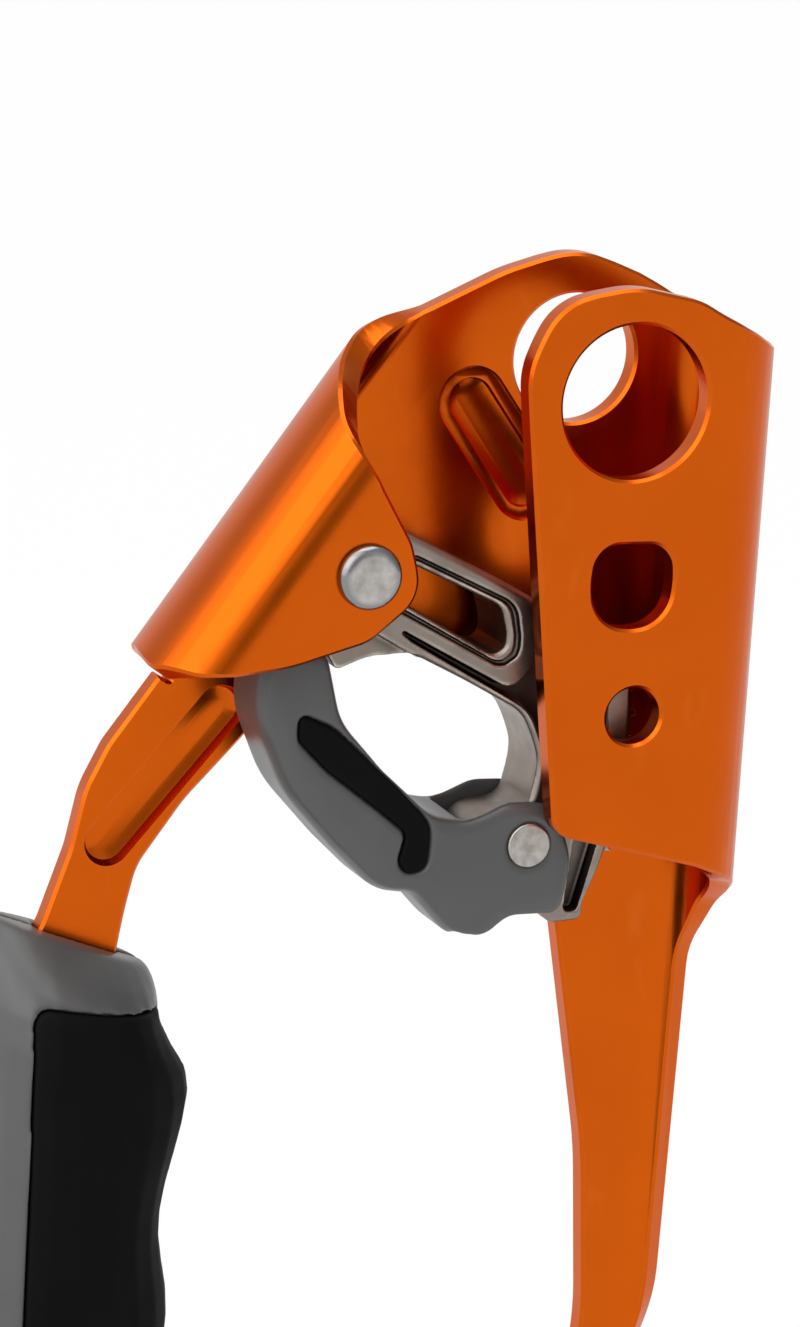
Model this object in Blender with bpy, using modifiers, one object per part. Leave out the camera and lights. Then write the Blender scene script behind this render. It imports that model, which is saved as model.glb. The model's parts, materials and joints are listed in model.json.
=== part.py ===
"""Handled rope ascender: a folded aluminium plate, a sprung toothed cam with a finger lever, a moulded grip.

Sizes are in millimetres. Z runs up along the rope, X to the right and Y away from the user; the origin
is on the rope line, in the middle of the channel, level with the upper connector hole.
"""

import math

import bmesh
import bpy
from mathutils import Matrix, Vector

MM = 0.001

# Frame plate and its two folds
PLATE = 3.0
CHANNEL_GAP = 14.0
SHELL_FOLD_R = 3.5
SHELL_BOW = 15.0
SHELL_TILT = 35.0
SHELL_LINE_X = -34.4
EDGE = 0.35
BEAD_DEPTH = 1.6
BEAD_STEP = 0.6
NECK_BEAD_W = 5.6
CHEEK_BEAD_W = 8.4

# Holes in the frame
FRONT_HOLE_D = 17.6
BACK_HOLE_D = 15.0
WINDOW_D = 9.8
LOWER_WINDOW_D = 6.6
CONNECTOR_HOLE_D = 16.0
SMALL_HOLE_D = 10.0

# Cam and its pivot
PIVOT = (-40.9, -19.1)
PIVOT_PIN_D = 4.6
PIVOT_HEAD_D = 7.4
PIVOT_HEAD_H = 1.4
BUSH_WALL = 0.7
CAM_WIDTH = 9.5
CAM_BOSS_R = 6.0
CAM_FACE_CENTRE = (-56.4, -38.6)
CAM_FACE_R = 50.9
CAM_POCKET = 3.0
TAIL_POCKET = 2.0
HEEL_STEP = 2.0
CAM_LIP = 0.7
TOOTH_H = 1.5
TOOTH_W = 1.7
TOOTH_ROWS = 8
SPRING_WIRE = 0.9
SPRING_TURNS = 3

# Lever
LEVER_PIN = (-18.0, -51.7)
LEVER_PIN_D = 3.6
LEVER_HEAD_D = 5.2
LEVER_SIDE_GAP = 0.6
LEVER_ROUND = 2.6
LEVER_INNER_ROUND = 1.2
LEVER_SPRING_WIRE = 0.7
INLAY_DEPTH = 1.2

# Grip
GRIP_X = -69.3
GRIP_HALF_WIDTH = 10.6
GRIP_HALF_DEPTH = 14.5
GRIP_TOP = -64.0
GRIP_BOTTOM = -146.0
GRIP_SHEAR = -0.35
GRIP_CORNER = 4.0
GRIP_RAMP = 9.0
GRIP_WAVES = (
    (0.0, 0.0), (0.07, 0.4), (0.195, 4.4), (0.40, 1.0), (0.54, 2.6), (0.68, 0.9), (0.82, 2.2), (1.0, 0.0))
PAD_THICK = 1.8
BAR_WIDTH = 13.5
SCREW_D = 3.0
SCREW_HEAD_D = 5.6
INSERT_D = 4.6
SCREW_Z = (-80.0, -107.0, -134.0)

# Running clearance between pieces that turn on each other, and the fit of fixed ones
PLAY = 0.15
FIT = 0.12

# Edges that turn by more than this stay sharp in the shading
SHARP = 35.0

# Derived planes
INNER = CHANNEL_GAP / 2
OUTER = INNER + PLATE
CHANNEL_LENGTH = math.pi * (INNER + PLATE / 2)
SHELL_FOLD = math.radians(90.0 - SHELL_BOW)
FOLD_MID = SHELL_FOLD_R + PLATE / 2
FOLD_Y = INNER + PLATE / 2 - FOLD_MID
SIDE_MID = FOLD_MID + FOLD_Y / math.cos(SHELL_FOLD)
SIDE_IN = (SIDE_MID - FOLD_MID) * math.sin(SHELL_FOLD)
SHELL_ARC = FOLD_MID * SHELL_FOLD
SHELL_SIDE = SIDE_MID * (math.pi - 2 * SHELL_FOLD)
SHELL_LENGTH = 2 * SHELL_ARC + SHELL_SIDE
SHELL_ALONG = Vector((math.sin(math.radians(SHELL_TILT)), math.cos(math.radians(SHELL_TILT))))
SHELL_INWARD = Vector((SHELL_ALONG.y, -SHELL_ALONG.x))
SHELL_ORIGIN = Vector((SHELL_LINE_X, 0.0))
SHELL_NOTCH = -41.3
CAM_HALF = CAM_WIDTH / 2
LEVER_HALF = INNER - LEVER_SIDE_GAP
FORK_HALF = CAM_HALF + 0.25
BAR_Y = INNER + PLATE / 2

for old in list(bpy.data.objects):
    bpy.data.objects.remove(old)
parts = bpy.data.collections.new("ascender")
cutters = bpy.data.collections.new("cutters")
bpy.context.scene.collection.children.link(parts)
bpy.context.scene.collection.children.link(cutters)
cutters.hide_render = True


def material(name, colour, metallic, roughness):
    made = bpy.data.materials.new(name)
    made.use_nodes = True
    shader = made.node_tree.nodes["Principled BSDF"]
    shader.inputs["Base Color"].default_value = (*colour, 1.0)
    shader.inputs["Metallic"].default_value = metallic
    shader.inputs["Roughness"].default_value = roughness
    return made


def object_of(name, bm, look=None):
    """A smooth-shaded piece of the ascender, or a hidden cutter when it has no material."""
    bmesh.ops.remove_doubles(bm, verts=bm.verts, dist=2e-6)
    bmesh.ops.recalc_face_normals(bm, faces=bm.faces)
    mesh = bpy.data.meshes.new(name)
    bm.to_mesh(mesh)
    bm.free()
    made = bpy.data.objects.new(name, mesh)
    if look is None:
        cutters.objects.link(made)
        made.hide_render = True
        made.display_type = "WIRE"
    else:
        mesh.materials.append(look)
        mesh.shade_smooth()
        mesh.set_sharp_from_angle(angle=math.radians(SHARP))
        parts.objects.link(made)
    return made


def settle(obj):
    """Replaces the object's mesh with what its modifiers make of it."""
    bpy.context.view_layer.update()
    graph = bpy.context.evaluated_depsgraph_get()
    made = bpy.data.meshes.new_from_object(obj.evaluated_get(graph))
    made.shade_smooth()
    made.set_sharp_from_angle(angle=math.radians(SHARP))
    obj.modifiers.clear()
    obj.data = made


def combine(obj, other, operation):
    step = obj.modifiers.new(other.name, "BOOLEAN")
    step.solver = "EXACT"
    step.operation = operation
    step.object = other
    return step


def rounded(corners, steps=5):
    """A closed outline through the corners (x, z, radius), each turned with its own radius."""
    line = []
    count = len(corners)
    for index, (x, z, radius) in enumerate(corners):
        here = Vector((x, z))
        before = Vector(corners[index - 1][:2]) - here
        after = Vector(corners[(index + 1) % count][:2]) - here
        reach = 0.48 * min(before.length, after.length)
        before.normalize()
        after.normalize()
        half = math.acos(max(-1.0, min(1.0, before.dot(after)))) / 2
        if radius == 0 or half > 1.54:
            line.append((x, z))
            continue
        tangent = min(reach, radius / math.tan(half))
        radius = tangent * math.tan(half)
        middle = here + (before + after).normalized() * (radius / math.sin(half))
        start = here + before * tangent - middle
        sweep = start.angle_signed(here + after * tangent - middle)
        for step in range(steps + 1):
            turn = Matrix.Rotation(-sweep * step / steps, 2)
            point = middle + turn @ start
            line.append((point.x, point.y))
    return line


def circle(centre, radius, steps=28):
    return [
        (
            centre[0] + radius * math.cos(2 * math.pi * step / steps),
            centre[1] + radius * math.sin(2 * math.pi * step / steps),
        )
        for step in range(steps)
    ]


def stadium(start, end, width, steps=8):
    """The outline of a slot of that width between two centres."""
    along = (Vector(end) - Vector(start)).normalized()
    angle = math.atan2(along.y, along.x)
    line = []
    for centre, first in ((end, angle - math.pi / 2), (start, angle + math.pi / 2)):
        for step in range(steps + 1):
            turn = first + math.pi * step / steps
            line.append((centre[0] + width / 2 * math.cos(turn), centre[1] + width / 2 * math.sin(turn)))
    return line


def slab(loops, near, far, edge=0.0, grow=0.0, edge_steps=1):
    """A flat solid between two Y planes: the first loop is its outline, the others are holes."""
    curve = bpy.data.curves.new("outline", "CURVE")
    curve.dimensions = "2D"
    curve.fill_mode = "BOTH"
    curve.extrude = ((far - near) / 2 - edge) * MM
    curve.bevel_depth = edge * MM
    curve.bevel_resolution = edge_steps
    curve.offset = (grow - edge) * MM
    for loop in loops:
        spline = curve.splines.new("POLY")
        spline.points.add(len(loop) - 1)
        spline.use_cyclic_u = True
        for point, (x, z) in zip(spline.points, loop):
            point.co = (x * MM, z * MM, 0.0, 1.0)
    holder = bpy.data.objects.new("outline", curve)
    mesh = bpy.data.meshes.new_from_object(holder)
    bpy.data.objects.remove(holder)
    bm = bmesh.new()
    bm.from_mesh(mesh)
    middle = (near + far) / 2 * MM
    for vert in bm.verts:
        vert.co = (vert.co.x, middle + vert.co.z, vert.co.y)
    bmesh.ops.remove_doubles(bm, verts=bm.verts, dist=2e-6)
    bmesh.ops.recalc_face_normals(bm, faces=bm.faces)
    return bm


def turned(profile, centre, steps=24, closed=False):
    """A solid of revolution about a Y axis, from (radius, y) points; a closed profile makes a ring."""
    bm = bmesh.new()
    line = [bm.verts.new((radius * MM, y * MM, 0.0)) for radius, y in profile]
    for start, end in zip(line, line[1:] + line[:1] if closed else line[1:]):
        bm.edges.new((start, end))
    mesh = bpy.data.meshes.new("profile")
    bm.to_mesh(mesh)
    bm.free()
    holder = bpy.data.objects.new("profile", mesh)
    cutters.objects.link(holder)
    sweep = holder.modifiers.new("sweep", "SCREW")
    sweep.axis = "Y"
    sweep.steps = steps
    sweep.render_steps = steps
    sweep.use_merge_vertices = True
    sweep.merge_threshold = 1e-6
    bpy.context.view_layer.update()
    made = bpy.data.meshes.new_from_object(holder.evaluated_get(bpy.context.evaluated_depsgraph_get()))
    bpy.data.objects.remove(holder)
    bm = bmesh.new()
    bm.from_mesh(made)
    bmesh.ops.translate(bm, verts=bm.verts, vec=(centre[0] * MM, 0.0, centre[1] * MM))
    bmesh.ops.recalc_face_normals(bm, faces=bm.faces)
    return bm


def rod(points, wire, sides=6):
    """A round wire along a line of points."""
    curve = bpy.data.curves.new("wire", "CURVE")
    curve.dimensions = "3D"
    curve.bevel_depth = wire / 2 * MM
    curve.bevel_resolution = max(0, (sides - 4) // 2)
    curve.use_fill_caps = True
    spline = curve.splines.new("POLY")
    spline.points.add(len(points) - 1)
    for point, (x, y, z) in zip(spline.points, points):
        point.co = (x * MM, y * MM, z * MM, 1.0)
    holder = bpy.data.objects.new("wire", curve)
    mesh = bpy.data.meshes.new_from_object(holder)
    bpy.data.objects.remove(holder)
    bm = bmesh.new()
    bm.from_mesh(mesh)
    return bm


orange = material("orange anodised aluminium", (0.60, 0.10, 0.008), 0.85, 0.32)
cast_steel = material("cast steel", (0.33, 0.29, 0.26), 1.0, 0.42)
bright_steel = material("bright steel", (0.62, 0.59, 0.55), 1.0, 0.30)
spring_steel = material("spring steel", (0.40, 0.40, 0.42), 1.0, 0.30)
bronze = material("bronze", (0.50, 0.33, 0.16), 1.0, 0.40)
brass = material("brass", (0.60, 0.42, 0.14), 1.0, 0.35)
nylon = material("grey nylon", (0.085, 0.085, 0.085), 0.0, 0.48)
acetal = material("white acetal", (0.70, 0.70, 0.68), 0.0, 0.40)
rubber = material("black rubber", (0.010, 0.010, 0.010), 0.0, 0.70)


# The frame is cut as one flat blank. The rope channel is folded along X = 0, and the
# cam shell along a line that leans to the right, so the blank is drawn unfolded first.
def on_flange(x, z):
    """Where a point of the front flange lies on the flat blank."""
    return CHANNEL_LENGTH - x, z


def on_channel(turn, z):
    """Where a point part of the way round the channel fold lies on the flat blank; turn is in degrees."""
    return math.radians(turn) * (INNER + PLATE / 2), z


def on_shell(out, along):
    """A point of the shell on the flat blank: how far out from the fold line, and how far along it."""
    point = SHELL_ORIGIN + SHELL_ALONG * along - SHELL_INWARD * out
    return point.x, point.y


def on_ear(x, z):
    """Where a point of the folded front ear lies on the flat blank."""
    place = Vector((x, z)) - SHELL_ORIGIN
    return on_shell(SHELL_LENGTH + place.dot(SHELL_INWARD), place.dot(SHELL_ALONG))


BAR_LEFT = GRIP_X - BAR_WIDTH / 2
BAR_RIGHT = GRIP_X + BAR_WIDTH / 2
NECK_LEFT = [(-68.3, -53.7, 12.0), (-71.2, -62.3, 8.0), (BAR_LEFT, -71.0, 8.0)]
NECK_RIGHT = [(BAR_RIGHT, -68.0, 8.0), (-61.3, -60.5, 8.0), (-60.3, -56.0, 8.0)]

blank = [
    (-10.8, 14.8, 11.0),
    (-3.0, 11.9, 6.0),
    (*on_channel(62, 5.6), 9.0),
    (*on_channel(122, 5.4), 9.0),
    (*on_channel(160, 8.2), 8.0),
    (*on_flange(-3.0, 11.4), 8.0),
    (*on_flange(-11.0, 13.0), 12.0),
    (*on_flange(-20.2, 11.2), 9.0),
    (*on_flange(-23.5, 3.5), 9.0),
    (*on_flange(-22.6, -4.0), 20.0),
    (*on_flange(-16.7, -49.6), 3.2),
    (*on_flange(1.0, -54.0), 10.0),
    (*on_channel(122, -57.5), 8.0),
    (*on_channel(84, -61.5), 8.0),
    (*on_channel(60, -68.0), 10.0),
    (*on_channel(54, -112.0), 30.0),
    (1.0, -139.0, 20.0),
    (-1.5, -187.0, 15.0),
    (-24.0, -189.0, 14.0),
    (-58.0, -178.5, 16.0),
    (BAR_LEFT - 0.5, -167.0, 11.0),
    (BAR_LEFT, -140.0, 10.0),
    *reversed(NECK_LEFT),
    (-66.9, -46.8, 12.0),
    (-64.4, -41.7, 8.0),
    (*on_shell(0.5, SHELL_NOTCH - 0.4), 0.3),
    (*on_shell(-0.9, SHELL_NOTCH - 0.3), 0.2),
    (*on_shell(-0.9, SHELL_NOTCH + 0.1), 0.2),
    (*on_shell(0.12 * SHELL_LENGTH, SHELL_NOTCH + 0.1), 3.0),
    (*on_shell(0.36 * SHELL_LENGTH, SHELL_NOTCH + 0.5), 6.0),
    (*on_shell(0.65 * SHELL_LENGTH, SHELL_NOTCH - 0.2), 4.0),
    (*on_shell(0.88 * SHELL_LENGTH, -39.2), 6.0),
    (*on_ear(-49.4, -29.3), 20.0),
    (*on_ear(-40.3, -26.6), 6.0),
    (*on_ear(-34.3, -21.5), 4.6),
    (*on_ear(-35.9, -15.6), 5.0),
    (*on_ear(-39.6, -9.4), 12.0),
    (*on_shell(0.78 * SHELL_LENGTH, -7.6), 12.0),
    (*on_shell(0.36 * SHELL_LENGTH, -0.6), 12.0),
    (*on_shell(0.02 * SHELL_LENGTH, 8.6), 18.0),
    (-19.6, 12.2, 24.0),
]
hand_opening = [
    (-44.0, -36.6, 6.0),
    (-39.2, -31.6, 5.0),
    (-24.0, -31.6, 9.0),
    (-15.0, -38.0, 8.0),
    (-12.2, -50.0, 30.0),
    (-8.0, -65.5, 20.0),
    (-2.6, -93.7, 60.0),
    (-0.9, -116.0, 40.0),
    (-4.0, -136.0, 30.0),
    (-11.0, -158.5, 13.0),
    (-50.0, -155.0, 10.0),
    (BAR_RIGHT, -151.0, 7.0),
    *NECK_RIGHT,
    (-55.0, -48.4, 20.0),
]
pivot_on_ear = on_ear(*PIVOT)
COIL_MEAN = PIVOT_PIN_D / 2 + FIT + BUSH_WALL + 0.5 + SPRING_WIRE / 2
hook = (PIVOT[0] + COIL_MEAN, PIVOT[1])
frame_mesh = slab(
    [
        rounded(blank, 4),
        rounded(hand_opening, 3),
        circle((-10.5, 2.1), BACK_HOLE_D / 2),
        circle(on_flange(-10.2, 0.0), FRONT_HOLE_D / 2),
        rounded([(*on_flange(-9.0 + x * WINDOW_D / 2, -21.0 + z * WINDOW_D / 2), WINDOW_D * turn)
                 for x, z, turn in ((-1, 1, 0.33), (1, 1, 0.33), (1, -1, 0.46), (-1, -1, 0.46))], 5),
        circle(on_flange(-7.8, -36.0), LOWER_WINDOW_D / 2, 20),
        circle((-16.5, -172.5), CONNECTOR_HOLE_D / 2),
        circle((-51.0, -165.5), SMALL_HOLE_D / 2, 20),
        *[circle((GRIP_X, z), SCREW_D / 2 + 0.5, 12) for z in SCREW_Z],
    ],
    INNER,
    OUTER,
    EDGE,
    edge_steps=0,
)
frame = object_of("frame", frame_mesh, orange)
neck_bead = ((-51.3, -37.9), (-63.9, -53.0), [(NECK_BEAD_W, BEAD_DEPTH)])
cheek_bead = ((-22.8, -2.9), (-15.6, -12.6), [(CHEEK_BEAD_W, BEAD_STEP), (CHEEK_BEAD_W - 2.4, BEAD_DEPTH)])
for start, end, grooves in (neck_bead, cheek_bead):
    ridge = object_of("bead ridge", slab(
        [stadium(start, end, grooves[-1][0] + 0.6)], OUTER - 1.4, OUTER + BEAD_DEPTH, 1.2, edge_steps=1))
    combine(frame, ridge, "UNION")
    for width, depth in grooves:
        groove = object_of("bead groove", slab(
            [stadium(start, end, width)], INNER - 4.0, INNER + depth, depth, edge_steps=1))
        combine(frame, groove, "DIFFERENCE")
settle(frame)


def folded(x, y, z):
    """Takes a point of the flat blank to its place on the folded frame."""
    depth = y - INNER
    if x > 0:
        if x < CHANNEL_LENGTH:
            turn = x / (INNER + PLATE / 2)
            return (INNER + depth) * math.sin(turn), (INNER + depth) * math.cos(turn), z
        return CHANNEL_LENGTH - x, -(INNER + depth), z
    place = Vector((x, z)) - SHELL_ORIGIN
    out = -place.dot(SHELL_INWARD)
    along = place.dot(SHELL_ALONG)
    on_neck = along < SHELL_NOTCH and out < 1.2
    if out <= 0 or on_neck:
        return x, y, z
    if out >= SHELL_LENGTH:
        inward = out - SHELL_LENGTH
        y = -(INNER + depth)
    else:
        if out < SHELL_ARC:
            mid, centre, turn = FOLD_MID, (0.0, FOLD_Y), out / FOLD_MID
        elif out < SHELL_ARC + SHELL_SIDE:
            mid, centre, turn = SIDE_MID, (SIDE_IN, 0.0), SHELL_FOLD + (out - SHELL_ARC) / SIDE_MID
        else:
            mid, centre, turn = FOLD_MID, (0.0, -FOLD_Y), math.pi - (SHELL_LENGTH - out) / FOLD_MID
        radius = mid - PLATE / 2 + depth
        inward = centre[0] - radius * math.sin(turn)
        y = centre[1] + radius * math.cos(turn)
    point = SHELL_ORIGIN + SHELL_ALONG * along + SHELL_INWARD * inward
    return point.x, y, point.y


bm = bmesh.new()
bm.from_mesh(frame.data)
bmesh.ops.dissolve_limit(bm, angle_limit=math.radians(0.2), verts=bm.verts, edges=bm.edges)
fold_lines = [(Vector((0.0, 0.0)), Vector((1.0, 0.0)), CHANNEL_LENGTH * step / 18) for step in range(19)]
for step in range(9):
    fold_lines.append((SHELL_ORIGIN, -SHELL_INWARD, SHELL_ARC * step / 8))
    fold_lines.append((SHELL_ORIGIN, -SHELL_INWARD, SHELL_ARC * (1 + step / 8) + SHELL_SIDE))
for step in range(1, 6):
    fold_lines.append((SHELL_ORIGIN, -SHELL_INWARD, SHELL_ARC + SHELL_SIDE * step / 6))
for origin, direction, distance in fold_lines:
    place = origin + direction * distance
    bmesh.ops.bisect_plane(
        bm,
        geom=list(bm.verts) + list(bm.edges) + list(bm.faces),
        dist=1e-7,
        plane_co=(place.x * MM, 0.0, place.y * MM),
        plane_no=(direction.x, 0.0, direction.y),
    )
bmesh.ops.triangulate(bm, faces=bm.faces)
for vert in bm.verts:
    vert.co = Vector(folded(*(vert.co / MM))) * MM
bm.to_mesh(frame.data)
bm.free()

# The rivet's holes go through both walls, and the spring's hook through the rear one.
pivot_bore = object_of("pivot bore", turned(
    [(0, -OUTER - 2), (PIVOT_PIN_D / 2 + FIT, -OUTER - 2),
     (PIVOT_PIN_D / 2 + FIT, OUTER + 2), (0, OUTER + 2)], PIVOT))
hook_bore = object_of("hook bore", turned(
    [(0, INNER - 1), (SPRING_WIRE / 2 + FIT, INNER - 1), (SPRING_WIRE / 2 + FIT, OUTER - 1), (0, OUTER - 1)],
    hook, 12))
combine(frame, pivot_bore, "DIFFERENCE")
combine(frame, hook_bore, "DIFFERENCE")

# The cam's rivet holds both walls against the bush, and its heads are domed over them.
head = PIVOT_HEAD_D / 2
pin = PIVOT_PIN_D / 2
seat = OUTER + 0.05
object_of("cam_pivot_rivet", turned(
    [(0, -seat - PIVOT_HEAD_H), (head - 1.4, -seat - PIVOT_HEAD_H), (head - 0.6, -seat - PIVOT_HEAD_H + 0.3),
     (head - 0.1, -seat - PIVOT_HEAD_H + 0.8), (head, -seat - 0.3), (head, -seat), (pin, -seat),
     (pin, seat), (head, seat), (head, seat + 0.3), (head - 0.1, seat + PIVOT_HEAD_H - 0.8),
     (head - 0.6, seat + PIVOT_HEAD_H - 0.3), (head - 1.4, seat + PIVOT_HEAD_H), (0, seat + PIVOT_HEAD_H)],
    PIVOT), bright_steel)
bush_in = pin + FIT
bush_out = bush_in + BUSH_WALL
object_of("cam_bush", turned(
    [(bush_in, -INNER + 0.05), (bush_out, -INNER + 0.05), (bush_out, INNER - 0.05), (bush_in, INNER - 0.05)],
    PIVOT, closed=True), bronze)

# Two acetal rings keep the cam in the middle of the gap; the rear one also clears the spring.
coil_out = bush_out + 0.5 + SPRING_WIRE
object_of("cam_washer_front", turned(
    [(bush_out + PLAY, -INNER + PLAY), (CAM_BOSS_R - 0.2, -INNER + PLAY),
     (CAM_BOSS_R - 0.2, -CAM_HALF - PLAY), (bush_out + PLAY, -CAM_HALF - PLAY)], PIVOT, closed=True), acetal)
object_of("cam_washer_rear", turned(
    [(coil_out + 0.2, CAM_HALF + PLAY), (CAM_BOSS_R - 0.2, CAM_HALF + PLAY),
     (CAM_BOSS_R - 0.2, INNER - PLAY), (coil_out + 0.2, INNER - PLAY)], PIVOT, closed=True), acetal)

# The cam is one investment casting: arm, finger ring, tail and a toothed face that follows
# an arc drawn off the pivot, so that it wedges on the rope as it turns up.
face = [
    (CAM_FACE_CENTRE[0] + CAM_FACE_R * math.cos(math.radians(turn)),
     CAM_FACE_CENTRE[1] + CAM_FACE_R * math.sin(math.radians(turn)))
    for turn in (8.0, 4.0, 0.0, -4.0, -8.0, -12.0, -16.0, -20.0, -24.0)
]
front = CAM_FACE_CENTRE[0] + CAM_FACE_R
cam_outline = [
    (PIVOT[0] + 1.6, PIVOT[1] + CAM_BOSS_R, 5.2),
    (-19.4, -22.9, 9.0),
    (face[0][0] - 1.4, face[0][1] + 1.6, 1.6),
    *[(x, z, 0.0) for x, z in face],
    (front - 4.5, -61.4, 0.9),
    (front - 8.3, -61.7, 1.0),
    (front - 10.1, -60.2, 2.0),
    (-21.5, -60.0, 4.0),
    (-25.0, -54.5, 5.0),
    (-24.2, -49.0, 4.0),
    (-17.8, -48.2, 2.4),
    (-16.6, -42.0, 6.0),
    (-19.0, -36.6, 5.0),
    (-26.0, -32.8, 12.0),
    (-32.4, -29.6, 4.0),
    (-37.6, -29.9, 8.0),
    (-41.4, -31.4, 0.8),
    (-42.5, -29.6, 0.8),
    (-45.6, -25.0, 4.0),
    (PIVOT[0] - CAM_BOSS_R - 0.6, PIVOT[1] + 0.8, 5.4),
    (PIVOT[0] - 3.2, PIVOT[1] + CAM_BOSS_R + 0.3, 4.8),
]
cam_window = [(-34.2, -18.8, 1.0), (-22.4, -24.2, 2.4), (-21.0, -31.0, 2.0), (-34.4, -23.5, 1.0)]
lip_outside = [(-34.4, -17.5, 1.2), (-20.6, -23.9, 3.2), (-19.4, -32.7, 3.0), (-35.4, -24.2, 1.2)]
lip_inside = [(-34.2, -18.1, 1.1), (-21.3, -24.1, 2.8), (-20.0, -32.0, 2.5), (-35.0, -23.8, 1.1)]
cam = object_of("cam", slab(
    [rounded(cam_outline, 3), rounded(cam_window, 3),
     circle(PIVOT, bush_out + PLAY, 24), circle(LEVER_PIN, LEVER_PIN_D / 2 + PLAY, 24)],
    -CAM_HALF, CAM_HALF, 0.5, edge_steps=0), cast_steel)
arm_pocket = [
    (-35.8, -25.8, 0.6),
    (-20.6, -33.9, 2.2),
    (-18.0, -31.0, 2.4),
    (-18.0, -26.2, 1.2),
    (front - 3.5, -30.5, 1.6),
    (front - 2.9, -44.0, 3.0),
    ((front - 2.9 - 15.4) / 2 - 0.3, -46.4, 1.6),
    (-15.4, -44.4, 1.4),
    (-15.6, -41.6, 4.0),
    (-18.2, -36.3, 5.0),
    (-25.6, -32.2, 12.0),
    (-33.2, -27.9, 6.0),
]
tail_pocket = [
    (front - 6.0, -49.6, 0.6), (front - 2.7, -49.8, 0.6), (front - 5.3, -60.2, 0.6), (front - 7.0, -60.3, 0.6)]
heel_step = [
    (-38.2, -26.5, 0.4), (-32.0, -30.0, 0.0), (-33.0, -34.0, 0.0), (-47.0, -34.0, 0.0), (-47.0, -26.3, 0.0)]
recesses = (("arm pocket", arm_pocket, CAM_POCKET), ("tail pocket", tail_pocket, TAIL_POCKET),
            ("heel step", heel_step, HEEL_STEP))
for side in (-1, 1):
    for name, outline, depth in recesses:
        planes = sorted((side * (CAM_HALF - depth), side * (CAM_HALF + 1.0)))
        combine(cam, object_of(name, slab([rounded(outline, 3)], *planes)), "DIFFERENCE")
    planes = sorted((side * (CAM_HALF - CAM_LIP), side * (CAM_HALF + 1.0)))
    combine(cam, object_of("rim groove", slab([rounded(lip_outside, 3), rounded(lip_inside, 3)], *planes)),
            "DIFFERENCE")
coil_pocket = coil_out + 0.2
floor = CAM_HALF - SPRING_WIRE * (SPRING_TURNS + 1.4) - 0.6
combine(cam, object_of("spring pocket", turned(
    [(0, floor), (coil_pocket, floor), (coil_pocket, CAM_HALF + 1), (0, CAM_HALF + 1)],
    PIVOT, 30)), "DIFFERENCE")
anchor = (PIVOT[0] - COIL_MEAN, PIVOT[1])
combine(cam, object_of("cam anchor", turned(
    [(0, floor - 2.2), (SPRING_WIRE / 2 + FIT, floor - 2.2),
     (SPRING_WIRE / 2 + FIT, floor + 0.5), (0, floor + 0.5)], anchor, 12)), "DIFFERENCE")
lever_pin = LEVER_PIN_D / 2
lever_coil = lever_pin + 0.55 + LEVER_SPRING_WIRE / 2
lever_pocket = lever_coil + LEVER_SPRING_WIRE / 2 + 0.25
lever_floor = CAM_HALF - LEVER_SPRING_WIRE * (SPRING_TURNS + 1.4) - 0.5
combine(cam, object_of("lever spring pocket", turned(
    [(0, lever_floor), (lever_pocket, lever_floor), (lever_pocket, CAM_HALF + 1), (0, CAM_HALF + 1)],
    LEVER_PIN, 26)), "DIFFERENCE")
lever_anchor = (LEVER_PIN[0], LEVER_PIN[1] - lever_coil)
combine(cam, object_of("lever anchor", turned(
    [(0, lever_floor - 1.6), (LEVER_SPRING_WIRE / 2 + FIT, lever_floor - 1.6),
     (LEVER_SPRING_WIRE / 2 + FIT, lever_floor + 0.5), (0, lever_floor + 0.5)],
    lever_anchor, 10)), "DIFFERENCE")

# The teeth are leaning pyramids in staggered rows; they point down, so the rope runs one way only.
bm = bmesh.new()
for row in range(TOOTH_ROWS):
    turn = math.radians(5.0 - row * 21.0 / (TOOTH_ROWS - 1))
    out = Vector((math.cos(turn), 0.0, math.sin(turn)))
    down = Vector((out.z, 0.0, -out.x))
    root = Vector((CAM_FACE_CENTRE[0], 0.0, CAM_FACE_CENTRE[1])) + out * (CAM_FACE_R - 0.35)
    columns = (-3.0, -1.0, 1.0, 3.0) if row % 2 else (-2.0, 0.0, 2.0)
    for column in columns:
        centre = root + Vector((0.0, column * CAM_HALF / 4.3, 0.0))
        half = TOOTH_W / 2
        base = [centre + down * (half * a) + Vector((0.0, half * b, 0.0))
                for a, b in ((-1, -1), (1, -1), (1, 1), (-1, 1))]
        tip = centre + out * (TOOTH_H + 0.35) + down * (half * 0.9)
        corners = [bm.verts.new(point * MM) for point in base]
        top = bm.verts.new(tip * MM)
        bm.faces.new(corners)
        for index in range(4):
            bm.faces.new((corners[index], corners[(index + 1) % 4], top))
combine(cam, object_of("teeth", bm), "UNION")
settle(cam)


# Both return springs are close-wound coils whose ends turn along the axis into small holes.
def torsion_spring(name, centre, mean, wire, low, high, start, turns, sink, rise):
    points = []
    count = int(turns * 12)
    for step in range(count + 1):
        angle = start + 2 * math.pi * turns * step / count
        y = low + (high - low) * step / count
        points.append((centre[0] + mean * math.cos(angle), y, centre[1] + mean * math.sin(angle)))
    first = points[0]
    last = points[-1]
    points.insert(0, (first[0], sink, first[2]))
    points.append((last[0], rise, last[2]))
    return object_of(name, rod(points, wire), spring_steel)


torsion_spring("cam_return_spring", PIVOT, COIL_MEAN, SPRING_WIRE, floor + SPRING_WIRE, CAM_HALF - 0.3,
               math.pi, SPRING_TURNS - 0.5, floor - 1.6, OUTER - 1.4)

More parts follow.
